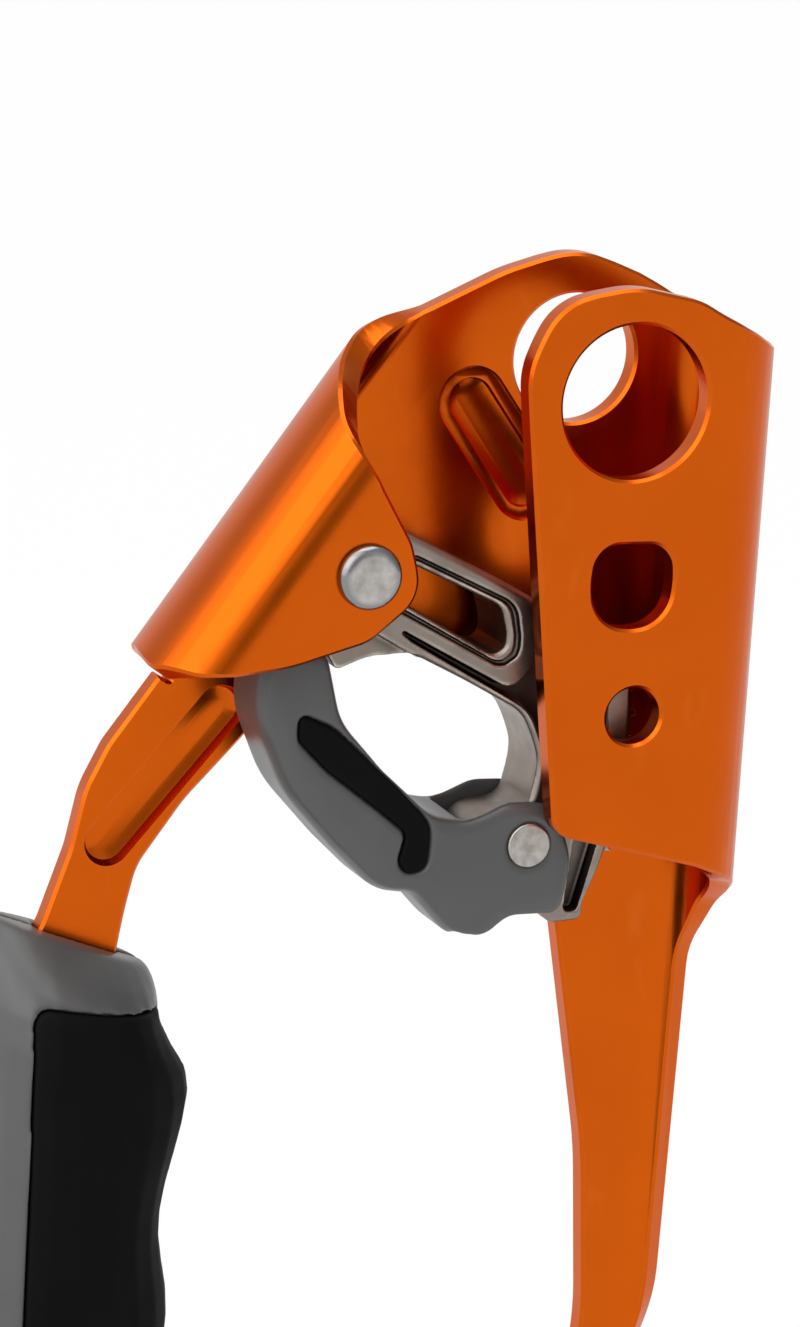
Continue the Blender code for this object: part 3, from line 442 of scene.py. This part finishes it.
inserts = grown("grip_inserts", insert_tree, insert_keys, {
    "Radius": insert_size.x / 2 - INSERT_WALL / 2, "Wall": INSERT_WALL, "Length": insert_size.y,
    "Knurls": KNURLS, "Knurl Depth": KNURL_DEPTH, "First": first, "Step": step, "Material": brass})
fix(inserts, "frame", brass, "brass",
    "grip_insert_upper", "grip_insert_middle", "grip_insert_lower")


# ---------------------------------------------------------------------------------------------
# The grip is moulded in two grey nylon halves that close over the frame's bar; the mould leaves
# a fine spark-eroded grain and soft corners, and the joint runs along the middle of the plate.
def melted(piece, voxel, passes):
    """Adds the two steps that melt a piece's facets into one soft skin."""
    skin = piece.modifiers.new("skin", "REMESH")
    skin.mode = "VOXEL"
    skin.voxel_size = voxel
    skin.use_smooth_shade = True
    melt = piece.modifiers.new("melt", "SMOOTH")
    melt.factor = 0.5
    melt.iterations = passes


def moulded(node, name, voxel, passes):
    """A CAD node with the soft skin of a moulding."""
    piece = piece_of(joined(node), name)
    melted(piece, voxel, passes)
    apply_modifiers(piece)
    return piece


GRIP_VOXEL = 0.00042
GRIP_PASSES = 8
NYLON = (0.076, 0.076, 0.075)
NYLON_DARK = (0.065, 0.065, 0.065)
NYLON_RUBBED = (0.115, 0.115, 0.112)
nylon, tree, shader = start_finish("grey_nylon", 0.0)
wear_and_sheen = wear_and_sheen_on_edges(tree, 0.0010, 260.0, 0.35)
cloudy = tint(tree, grain(tree, 90.0, 1.7), NYLON_DARK, NYLON)
tree.links.new(tint(tree, wear_and_sheen, cloudy, NYLON_RUBBED), shader.inputs["Base Color"])
dull = between(tree, grain(tree, 160.0, 1.8), 0.29, 0.40)
tree.links.new(level(tree, wear_and_sheen, dull, 0.27), shader.inputs["Roughness"])
bump(tree, shader, (grain(tree, 2600.0, 1.2, detail=2.0), 9e-6), (grain(tree, 500.0, 1.0), 8e-6))
for side in ("front", "rear"):
    half = moulded("grip_shell_" + side, "grip_half_" + side, GRIP_VOXEL, GRIP_PASSES)
    fix(half, "frame", nylon, "grey_nylon", "grip_shell_" + side)


# ---------------------------------------------------------------------------------------------
# Each half carries a black rubber pad, moulded over it into a shallow seat; the rubber is matt,
# slightly pebbled, and greyed where it is rubbed.
RUBBER = (0.0022, 0.0022, 0.0022)
RUBBER_GREYED = (0.0065, 0.0065, 0.0063)
PAD_PASSES = 6
rubber, tree, shader = start_finish("black_rubber", 0.0)
wear_and_sheen = wear_and_sheen_on_edges(tree, 0.0012, 200.0, 0.5)
dusty = add(tree, "ShaderNodeMath", {0: grain(tree, 75.0, 1.6), 1: 0.35}, operation="MULTIPLY")
cloudy = tint(tree, dusty.outputs[0], RUBBER, RUBBER_GREYED)
tree.links.new(tint(tree, wear_and_sheen, cloudy, RUBBER_GREYED), shader.inputs["Base Color"])
tree.links.new(between(tree, grain(tree, 140.0, 1.6), 0.56, 0.72), shader.inputs["Roughness"])
bump(tree, shader, (grain(tree, 1500.0, 1.3, detail=2.0), 1.4e-5), (grain(tree, 350.0, 1.0), 1e-5))
shader.inputs["Specular IOR Level"].default_value = 0.07
for side in ("front", "rear"):
    pad = moulded("grip_pad_" + side, "grip_rubber_" + side, GRIP_VOXEL, PAD_PASSES)
    fix(pad, "frame", rubber, "black_rubber", "grip_pad_" + side)


# ---------------------------------------------------------------------------------------------
# Three steel screws with hexagon sockets hold the halves together from behind, through the bar
# and into the inserts; they are turned, then plated bright.
def turned(name, profile, steps=64, sharp=40.0):
    """A solid turned about a Y axis at the origin, from (radius, y) points in metres."""
    bm = bmesh.new()
    line = [bm.verts.new((radius, y, 0.0)) for radius, y in profile]
    edges = [bm.edges.new(pair) for pair in zip(line, line[1:])]
    bmesh.ops.spin(bm, geom=line + edges, cent=(0.0, 0.0, 0.0), axis=(0.0, 1.0, 0.0),
                   angle=2 * math.pi, steps=steps, use_merge=True)
    bmesh.ops.remove_doubles(bm, verts=bm.verts, dist=1e-6)
    bmesh.ops.recalc_face_normals(bm, faces=bm.faces)
    for face in bm.faces:
        face.smooth = True
    for edge in bm.edges:
        edge.smooth = edge.calc_face_angle(0.0) < math.radians(sharp)
    return piece_of(bm, name)


def arc(centre, radius, start, end, steps, rise=None):
    """Profile points on an arc, its angles in degrees; a rise of its own makes it oval."""
    rise = rise or radius
    turns = [math.radians(start + (end - start) * step / steps) for step in range(steps + 1)]
    return [(centre[0] + radius * math.cos(turn), centre[1] + rise * math.sin(turn))
            for turn in turns]


bright, tree, shader = start_finish("bright_steel", 1.0)
wear_and_sheen = wear_and_sheen_on_edges(tree, 0.0004, 500.0, 0.4)
brushed = tint(tree, grain(tree, 800.0, 2.6), (0.33, 0.305, 0.28), (0.55, 0.515, 0.475))
tree.links.new(tint(tree, wear_and_sheen, brushed, (0.66, 0.64, 0.61)), shader.inputs["Base Color"])
tree.links.new(between(tree, grain(tree, 800.0, 1.7), 0.30, 0.44), shader.inputs["Roughness"])
bump(tree, shader, (grain(tree, 3500.0, 1.0), 3e-6), (grain(tree, 800.0, 1.4), 1e-5))

screw_size = size_of("grip_screw_upper")
HEAD_R = screw_size.x / 2
SHANK_R = 0.0015
HEAD_H = 0.00235
SOCKET_R = 0.00145
SOCKET_DEEP = 0.0014
TIP_CHAMFER = 0.0004
HEAD_CHAMFER = 0.0001
CROWN_R = 0.0006
SCREW_STEPS = 40
tip = -screw_size.y / 2
crown = screw_size.y / 2
screw = turned("screw", [
    (0.0, tip), (SHANK_R - TIP_CHAMFER, tip), (SHANK_R, tip + TIP_CHAMFER),
    (SHANK_R, crown - HEAD_H), (HEAD_R - HEAD_CHAMFER, crown - HEAD_H),
    (HEAD_R, crown - HEAD_H + HEAD_CHAMFER),
    *arc((HEAD_R - CROWN_R, crown - CROWN_R), CROWN_R, 0.0, 90.0, 5), (0.0, crown)], SCREW_STEPS)
bm = bmesh.new()
bmesh.ops.create_cone(bm, cap_ends=True, segments=6, radius1=SOCKET_R, radius2=SOCKET_R,
                      depth=2 * SOCKET_DEEP)
bmesh.ops.rotate(bm, verts=bm.verts, matrix=Matrix.Rotation(math.pi / 2, 3, "X"))
bmesh.ops.translate(bm, verts=bm.verts, vec=(0.0, crown, 0.0))
socket = piece_of(bm, "socket")
drive = screw.modifiers.new("drive", "BOOLEAN")
drive.operation = "DIFFERENCE"
drive.solver = "EXACT"
drive.object = socket
apply_modifiers(screw)
bpy.data.objects.remove(socket)

screw_tree, entry, leave, screw_keys = geometry_tree("row_of_screws", {
    "Screw": bpy.types.Object, "First": tuple, "Step": tuple, "Material": bpy.types.Material})
one = add(screw_tree, "GeometryNodeObjectInfo", {"Object": entry.outputs["Screw"]})
row = add(screw_tree, "GeometryNodeMeshLine",
          {"Count": IN_A_ROW, "Start Location": entry.outputs["First"],
           "Offset": entry.outputs["Step"]})
driven = add(screw_tree, "GeometryNodeInstanceOnPoints",
             {"Points": row.outputs[0], "Instance": one.outputs["Geometry"]})
finish_tree(screw_tree, entry, leave, driven.outputs[0])
first, step = pitch_of("grip_screw")
screws = grown("grip_screws", screw_tree, screw_keys,
               {"Screw": screw, "First": first, "Step": step, "Material": bright})
bpy.data.objects.remove(screw)
fix(screws, "frame", bright, "bright_steel",
    "grip_screw_upper", "grip_screw_middle", "grip_screw_lower")


# ---------------------------------------------------------------------------------------------
# The cam is one investment casting in stainless steel: an arm with a window, a pull ring, a
# forked tail and rows of leaning teeth. It keeps the dull cast skin, polished where it rubs; its
# edges are lightened as polish and painted highlight, and its recesses darkened as painted shade.
def cast(node, name, voxel, passes, flat):
    """A CAD node with the soft edges of a casting; its flat faces are kept in one."""
    bm = joined(node)
    eased(bm)
    piece = piece_of(bm, name)
    melted(piece, voxel, passes)
    flats = piece.modifiers.new("flats", "DECIMATE")
    flats.decimate_type = "DISSOLVE"
    flats.angle_limit = math.radians(flat)
    piece.modifiers.new("even", "WEIGHTED_NORMAL")
    apply_modifiers(piece)
    return piece


STEEL = (0.320, 0.270, 0.232)
STEEL_DARK = (0.240, 0.200, 0.170)
# A pale steel for the cam's edges: polish, and a painted highlight as well.
STEEL_POLISHED_SHEEN = (0.80, 0.75, 0.69)
# A near-black steel for the cam's recesses: painted shade.
STEEL_PAINTED_SHADE = (0.060, 0.048, 0.040)
CAM_VOXEL = 0.00017
CAM_PASSES = 4
CAM_FLAT = 1.5
steel, tree, shader = start_finish("cast_steel", 1.0)
# An occlusion mask darkens the cam's recesses towards near black: painted shade.
occlusion = add(tree, "ShaderNodeAmbientOcclusion", {"Distance": 0.0032}, samples=12, only_local=True)
painted_shade = add(tree, "ShaderNodeMapRange",
           {"Value": occlusion.outputs["AO"], "From Min": 0.88, "From Max": 0.40})
wear_and_sheen = wear_and_sheen_on_edges(tree, 0.0008, 350.0, 1.0)
skin = tint(tree, grain(tree, 260.0, 1.7), STEEL_DARK, STEEL)
skin = tint(tree, wear_and_sheen, skin, STEEL_POLISHED_SHEEN)
tree.links.new(tint(tree, painted_shade.outputs[0], skin, STEEL_PAINTED_SHADE), shader.inputs["Base Color"])
dull = between(tree, grain(tree, 420.0, 1.7), 0.32, 0.46)
tree.links.new(level(tree, wear_and_sheen, dull, 0.24), shader.inputs["Roughness"])
bump(tree, shader, (grain(tree, 1500.0, 1.2), 8e-6), (grain(tree, 330.0, 1.2), 1.6e-5))
cam = cast("cam", "cam_casting", CAM_VOXEL, CAM_PASSES, CAM_FLAT)
fix(cam, "cam", steel, "cast_steel", "cam")


# ---------------------------------------------------------------------------------------------
# The cam turns on a sintered bronze bush between two white acetal rings, which keep the steel
# off the anodised plate.
bronze, tree, shader = start_finish("sintered_bronze", 1.0)
tree.links.new(tint(tree, grain(tree, 1400.0, 2.0), (0.40, 0.25, 0.11), (0.55, 0.37, 0.19)),
               shader.inputs["Base Color"])
tree.links.new(between(tree, grain(tree, 600.0, 1.5), 0.36, 0.52), shader.inputs["Roughness"])
bump(tree, shader, (grain(tree, 2200.0, 1.4), 8e-6))
BUSH_EDGE = 0.00012
bush = broken_edges("cam_bush", "cam_bush_sleeve", BUSH_EDGE)
fix(bush, "frame", bronze, "bronze", "cam_bush")

RING_EDGE = 0.00015
acetal, tree, shader = start_finish("white_acetal", 0.0)
tree.links.new(tint(tree, grain(tree, 200.0, 1.5), (0.60, 0.60, 0.57), (0.70, 0.70, 0.68)),
               shader.inputs["Base Color"])
tree.links.new(between(tree, grain(tree, 350.0, 1.5), 0.34, 0.46), shader.inputs["Roughness"])
bump(tree, shader, (grain(tree, 1800.0, 1.0), 4e-6))
for side in ("front", "rear"):
    ring = broken_edges("cam_washer_" + side, "cam_ring_" + side, RING_EDGE)
    fix(ring, "frame", acetal, "white_acetal", "cam_washer_" + side)


# ---------------------------------------------------------------------------------------------
# Close-wound springs of drawn steel wire turn the cam closed and the lever back to its stop.
# Both ends of the wire run along the axis into small holes, so the coil winds up as they turn.
wire, tree, shader = start_finish("drawn_wire", 1.0)
tree.links.new(tint(tree, grain(tree, 900.0, 1.5), (0.34, 0.34, 0.35), (0.45, 0.45, 0.46)),
               shader.inputs["Base Color"])
tree.links.new(between(tree, grain(tree, 700.0, 1.5), 0.22, 0.36), shader.inputs["Roughness"])
bump(tree, shader, (grain(tree, 2600.0, 1.0), 3e-6))

coil_tree, entry, leave, coil_keys = geometry_tree("coil_spring", {
    "Wire": float, "Radius": float, "Turns": float, "Start": float, "Low": float, "High": float,
    "Sink": float, "Rise": float, "Axis": tuple, "Material": bpy.types.Material})
HOOK_SHARE = 0.07
COIL_STOPS = 150
WIRE_SIDES = 14
straight = add(coil_tree, "GeometryNodeCurvePrimitiveLine", {"End": (1.0, 0.0, 0.0)})
stops = add(coil_tree, "GeometryNodeResampleCurve",
            {"Curve": straight.outputs[0], "Count": COIL_STOPS})
along = add(coil_tree, "GeometryNodeSplineParameter").outputs["Factor"]
wound = add(coil_tree, "ShaderNodeMapRange",
            {"Value": along, "From Min": HOOK_SHARE, "From Max": 1.0 - HOOK_SHARE}).outputs[0]
whole = add(coil_tree, "ShaderNodeMath", {0: entry.outputs["Turns"], 1: 2 * math.pi},
            operation="MULTIPLY")
angle = add(coil_tree, "ShaderNodeMath",
            {0: wound, 1: whole.outputs[0], 2: entry.outputs["Start"]},
            operation="MULTIPLY_ADD").outputs[0]
body_y = add(coil_tree, "ShaderNodeMapRange",
             {"Value": wound, "To Min": entry.outputs["Low"], "To Max": entry.outputs["High"]})
first_y = add(coil_tree, "ShaderNodeMapRange",
              {"Value": along, "From Max": HOOK_SHARE, "To Min": entry.outputs["Sink"],
               "To Max": body_y.outputs[0]})
last_y = add(coil_tree, "ShaderNodeMapRange",
             {"Value": along, "From Min": 1.0 - HOOK_SHARE, "To Min": first_y.outputs[0],
              "To Max": entry.outputs["Rise"]})
cosine = add(coil_tree, "ShaderNodeMath", {0: angle}, operation="COSINE")
sine = add(coil_tree, "ShaderNodeMath", {0: angle}, operation="SINE")
east = add(coil_tree, "ShaderNodeMath", {0: cosine.outputs[0], 1: entry.outputs["Radius"]},
           operation="MULTIPLY")
north = add(coil_tree, "ShaderNodeMath", {0: sine.outputs[0], 1: entry.outputs["Radius"]},
            operation="MULTIPLY")
place = add(coil_tree, "ShaderNodeCombineXYZ",
            {"X": east.outputs[0], "Y": last_y.outputs[0], "Z": north.outputs[0]})
on_axis = add(coil_tree, "ShaderNodeVectorMath", {0: place.outputs[0], 1: entry.outputs["Axis"]},
              operation="ADD")
path = add(coil_tree, "GeometryNodeSetPosition",
           {"Geometry": stops.outputs[0], "Position": on_axis.outputs[0]})
half_wire = add(coil_tree, "ShaderNodeMath", {0: entry.outputs["Wire"], 1: 0.5},
                operation="MULTIPLY")
round_wire = add(coil_tree, "GeometryNodeCurvePrimitiveCircle",
                 {"Resolution": WIRE_SIDES, "Radius": half_wire.outputs[0]})
swept = add(coil_tree, "GeometryNodeCurveToMesh",
            {"Curve": path.outputs[0], "Profile Curve": round_wire.outputs[0], "Fill Caps": True})
sleek = add(coil_tree, "GeometryNodeSetShadeSmooth", {"Geometry": swept.outputs[0]})
finish_tree(coil_tree, entry, leave, sleek.outputs[0])


def wound_spring(name, axis, sizes, node):
    """A coil about an axis along Y, grown as plain mesh in its world place; the CAD node it stands
    for is hidden.
    """
    piece = grown(name, coil_tree, coil_keys,
                  {**sizes, "Axis": (axis.x, 0.0, axis.z), "Material": wire})
    piece.data.materials.clear()
    piece.data.materials.append(wire)
    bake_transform(piece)
    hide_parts(node)


pivot = middle_of("cam_pivot_rivet")
wound_spring("cam_spring_coil", pivot, {
    "Wire": 0.0009, "Radius": 0.00407, "Turns": 2.5, "Start": math.pi,
    "Low": 0.00109, "High": 0.00445, "Sink": -0.00141, "Rise": 0.0086},
    "cam_return_spring")
lever_axis = middle_of("lever_rivet")
wound_spring("lever_spring_coil", lever_axis, {
    "Wire": 0.0007, "Radius": 0.0027, "Turns": 2.5, "Start": -math.pi / 2,
    "Low": 0.00187, "High": 0.00435, "Sink": -0.00003, "Rise": 0.0053},
    "lever_spring")


# ---------------------------------------------------------------------------------------------
# The cam's rivet is a steel pin through both walls of the frame, with a flat head pressed at each
# end: a speckled face inside a smooth rolled rim, whose darker colour is painted shade.
rivet_size = size_of("cam_pivot_rivet")
RIVET_R = rivet_size.x / 2
RIVET_PIN_R = 0.0023
RIVET_SEAT = 0.01005
RIVET_SHOULDER = 0.0014
RIVET_DOME = 0.0011
outer = rivet_size.y / 2
far_head = [(RIVET_R, RIVET_SEAT), *arc((RIVET_R - RIVET_SHOULDER, outer - RIVET_DOME),
                                        RIVET_SHOULDER, 0.0, 90.0, 8, RIVET_DOME), (0.0, outer)]
near_head = [(radius, -y) for radius, y in reversed(far_head)]
rivet = turned("cam_rivet", [
    *near_head, (RIVET_PIN_R, -RIVET_SEAT), (RIVET_PIN_R, RIVET_SEAT), *far_head])
reach = rivet.data.attributes.new("reach", "FLOAT", "POINT")
for vertex, mark in zip(rivet.data.vertices, reach.data):
    mark.value = math.hypot(vertex.co.x, vertex.co.z) / RIVET_R
rivet.data.transform(Matrix.Translation(pivot))
pressed, tree, shader = start_finish("pressed_steel", 1.0)
outwards = add(tree, "ShaderNodeAttribute", attribute_name="reach").outputs["Fac"]
# The rim is painted darker than the face, as shade; it is also made smoother.
rolled = add(tree, "ShaderNodeMapRange",
             {"Value": outwards, "From Min": 0.68, "From Max": 0.84}).outputs[0]
face = tint(tree, grain(tree, 620.0, 2.2), (0.36, 0.345, 0.33), (0.62, 0.595, 0.56))
tree.links.new(tint(tree, rolled, face, (0.26, 0.262, 0.27)), shader.inputs["Base Color"])
satin = between(tree, grain(tree, 800.0, 1.7), 0.32, 0.46)
tree.links.new(level(tree, rolled, satin, 0.17), shader.inputs["Roughness"])
bump(tree, shader, (grain(tree, 2600.0, 1.2), 5e-6), (grain(tree, 700.0, 1.4), 1.2e-5))
fix(rivet, "frame", pressed, "bright_steel", "cam_pivot_rivet")


# ---------------------------------------------------------------------------------------------
# The lever is a curved hook moulded in the same grey nylon. Its right end is a fork over the
# cam's tail, and its left end rests inside the shell until it is drawn down.
LEVER_VOXEL = 0.00028
LEVER_PASSES = 22
lever = moulded("lever", "lever_hook", LEVER_VOXEL, LEVER_PASSES)
fix(lever, "lever", nylon, "grey_nylon", "lever")


# ---------------------------------------------------------------------------------------------
# A strip of the grip's black rubber is set into each side of the lever. It is moulded in place,
# so its edges are soft.
STRIP_VOXEL = 0.00016
STRIP_PASSES = 4
for side in ("front", "rear"):
    strip = moulded("lever_inlay_" + side, "lever_strip_" + side, STRIP_VOXEL, STRIP_PASSES)
    fix(strip, "lever", rubber, "black_rubber", "lever_inlay_" + side)


# ---------------------------------------------------------------------------------------------
# The lever's rivet joins the fork to the cam's tail. Its heads are flat and sunk level with the
# fork's cheeks.
head_size = size_of("lever_rivet")
FLUSH_R = head_size.x / 2
FLUSH_PIN_R = 0.0018
FLUSH_SEAT = 0.00575
FLUSH_EDGE = 0.0003
outer = head_size.y / 2
far_head = [(FLUSH_R, FLUSH_SEAT), *arc((FLUSH_R - FLUSH_EDGE, outer - FLUSH_EDGE),
                                        FLUSH_EDGE, 0.0, 90.0, 4), (0.0, outer)]
near_head = [(radius, -y) for radius, y in reversed(far_head)]
flush = turned("lever_pin", [
    *near_head, (FLUSH_PIN_R, -FLUSH_SEAT), (FLUSH_PIN_R, FLUSH_SEAT), *far_head])
flush.data.transform(Matrix.Translation(lever_axis))
fix(flush, "cam", bright, "bright_steel", "lever_rivet")


# ---------------------------------------------------------------------------------------------
# The studio: a pale floor below the hanging part, soft lights at the left and above, and a sky
# that is brighter at the left and plain white behind the part.
FLOOR_DROP = 0.012
FLOOR_HALF = 4.0
FLOOR_WHITE = 0.93
FLOOR_Z = cad_box[0][2] - FLOOR_DROP
bm = bmesh.new()
bmesh.ops.create_grid(bm, x_segments=1, y_segments=1, size=FLOOR_HALF)
bmesh.ops.translate(bm, verts=bm.verts, vec=(0.0, 0.0, FLOOR_Z))
floor = piece_of(bm, "floor")
pale, tree, shader = start_finish("pale_floor", 0.0)
shader.inputs["Base Color"].default_value = (0.82, 0.82, 0.82, 1.0)
shader.inputs["Roughness"].default_value = 0.7
ray = add(tree, "ShaderNodeLightPath").outputs
seen = add(tree, "ShaderNodeMath", {0: ray["Is Camera Ray"], 1: ray["Is Glossy Ray"]},
           operation="MAXIMUM")
seen = add(tree, "ShaderNodeMath", {0: seen.outputs[0], 1: ray["Is Transmission Ray"]},
           operation="MAXIMUM")
part = add(tree, "ShaderNodeMath", {0: seen.outputs[0], 1: FLOOR_WHITE}, operation="MULTIPLY")
white = add(tree, "ShaderNodeEmission", {"Color": (1.0, 1.0, 1.0, 1.0), "Strength": 1.0})
both = add(tree, "ShaderNodeMixShader",
           {0: part.outputs[0], 1: shader.outputs[0], 2: white.outputs[0]})
tree.links.new(both.outputs[0], tree.nodes["Material Output"].inputs["Surface"])
floor.data.materials.append(pale)

world = bpy.data.worlds.new("studio")
bpy.context.scene.world = world
world.use_nodes = True
tree = world.node_tree
direction = add(tree, "ShaderNodeTexCoord").outputs["Generated"]


def patch_of_sky(towards, inner, outer, strength, base):
    """Adds a soft round patch to the sky, full inside the inner angle and gone at the outer one."""
    aim = add(tree, "ShaderNodeVectorMath", {0: direction, 1: Vector(towards).normalized()},
              operation="DOT_PRODUCT")
    fade = add(tree, "ShaderNodeMapRange",
               {"Value": aim.outputs["Value"], "From Min": math.cos(math.radians(outer)),
                "From Max": math.cos(math.radians(inner))}, interpolation_type="SMOOTHSTEP")
    return add(tree, "ShaderNodeMath", {0: fade.outputs[0], 1: strength, 2: base},
               operation="MULTIPLY_ADD").outputs[0]


SKY_LEVEL = 0.66
sky = patch_of_sky((-0.16, -0.96, 0.17), 5.0, 32.0, -0.32, SKY_LEVEL)
sky = patch_of_sky((-0.78, -0.20, 0.59), 22.0, 60.0, 1.40, sky)
sky = patch_of_sky((0.9, 0.2, 0.1), 10.0, 70.0, -0.26, sky)
backdrop = patch_of_sky((0.365, 0.90, -0.225), 42.0, 64.0, 0.85, 0.0)
ray = add(tree, "ShaderNodeLightPath").outputs
through = add(tree, "ShaderNodeMath", {0: ray["Is Glossy Ray"], 1: ray["Is Transmission Ray"]},
              operation="MAXIMUM")
behind = add(tree, "ShaderNodeMath", {0: through.outputs[0], 1: backdrop}, operation="MULTIPLY")
seen = add(tree, "ShaderNodeMath", {0: behind.outputs[0], 1: ray["Is Camera Ray"]},
           operation="MAXIMUM")
pick = add(tree, "ShaderNodeMix", {0: seen.outputs[0], 2: sky, 3: 1.0}, data_type="FLOAT")
background = tree.nodes["Background"]
background.inputs["Color"].default_value = (1.0, 1.0, 1.0, 1.0)
tree.links.new(pick.outputs[0], background.inputs["Strength"])


def softbox(name, place, aim, size, power):
    lamp = bpy.data.lights.new(name, "AREA")
    lamp.shape = "RECTANGLE"
    lamp.size = size[0]
    lamp.size_y = size[1]
    lamp.energy = power
    made = bpy.data.objects.new(name, lamp)
    bpy.context.scene.collection.objects.link(made)
    made.location = place
    made.rotation_mode = "QUATERNION"
    made.rotation_quaternion = (Vector(aim) - Vector(place)).to_track_quat("-Z", "Y")


AIM = (-0.03, 0.0, -0.05)
softbox("key", (-1.15, -0.55, 0.80), AIM, (1.20, 0.95), 2.4)
softbox("top", (0.1, -0.1, 1.3), AIM, (0.9, 0.9), 5.0)


# ---------------------------------------------------------------------------------------------
# The camera stands a little left of the front and above, with a long lens, and is tipped so that
# the part leans right.
AZIMUTH = math.radians(-22.0)
ELEVATION = math.radians(13.0)
ROLL = math.radians(3.5)
FOCAL_MM = 210.6
STAND = (-0.225305, -0.476955, 0.087258)
back = Vector((math.sin(AZIMUTH) * math.cos(ELEVATION), -math.cos(AZIMUTH) * math.cos(ELEVATION),
               math.sin(ELEVATION)))
right = Vector((math.cos(AZIMUTH), math.sin(AZIMUTH), 0.0))
up = back.cross(right)
across = right * math.cos(ROLL) + up * math.sin(ROLL)
upright = up * math.cos(ROLL) - right * math.sin(ROLL)
lens = bpy.data.cameras.new("camera")
lens.sensor_fit = "HORIZONTAL"
lens.sensor_width = 36.0
lens.lens = FOCAL_MM
lens.clip_start = 0.01
lens.clip_end = 50.0
camera = bpy.data.objects.new("camera", lens)
bpy.context.scene.collection.objects.link(camera)
facing = Matrix((across, upright, back)).transposed().to_4x4()
camera.matrix_world = Matrix.Translation(STAND) @ facing
bpy.context.scene.camera = camera
bpy.context.scene.view_settings.view_transform = "Standard"
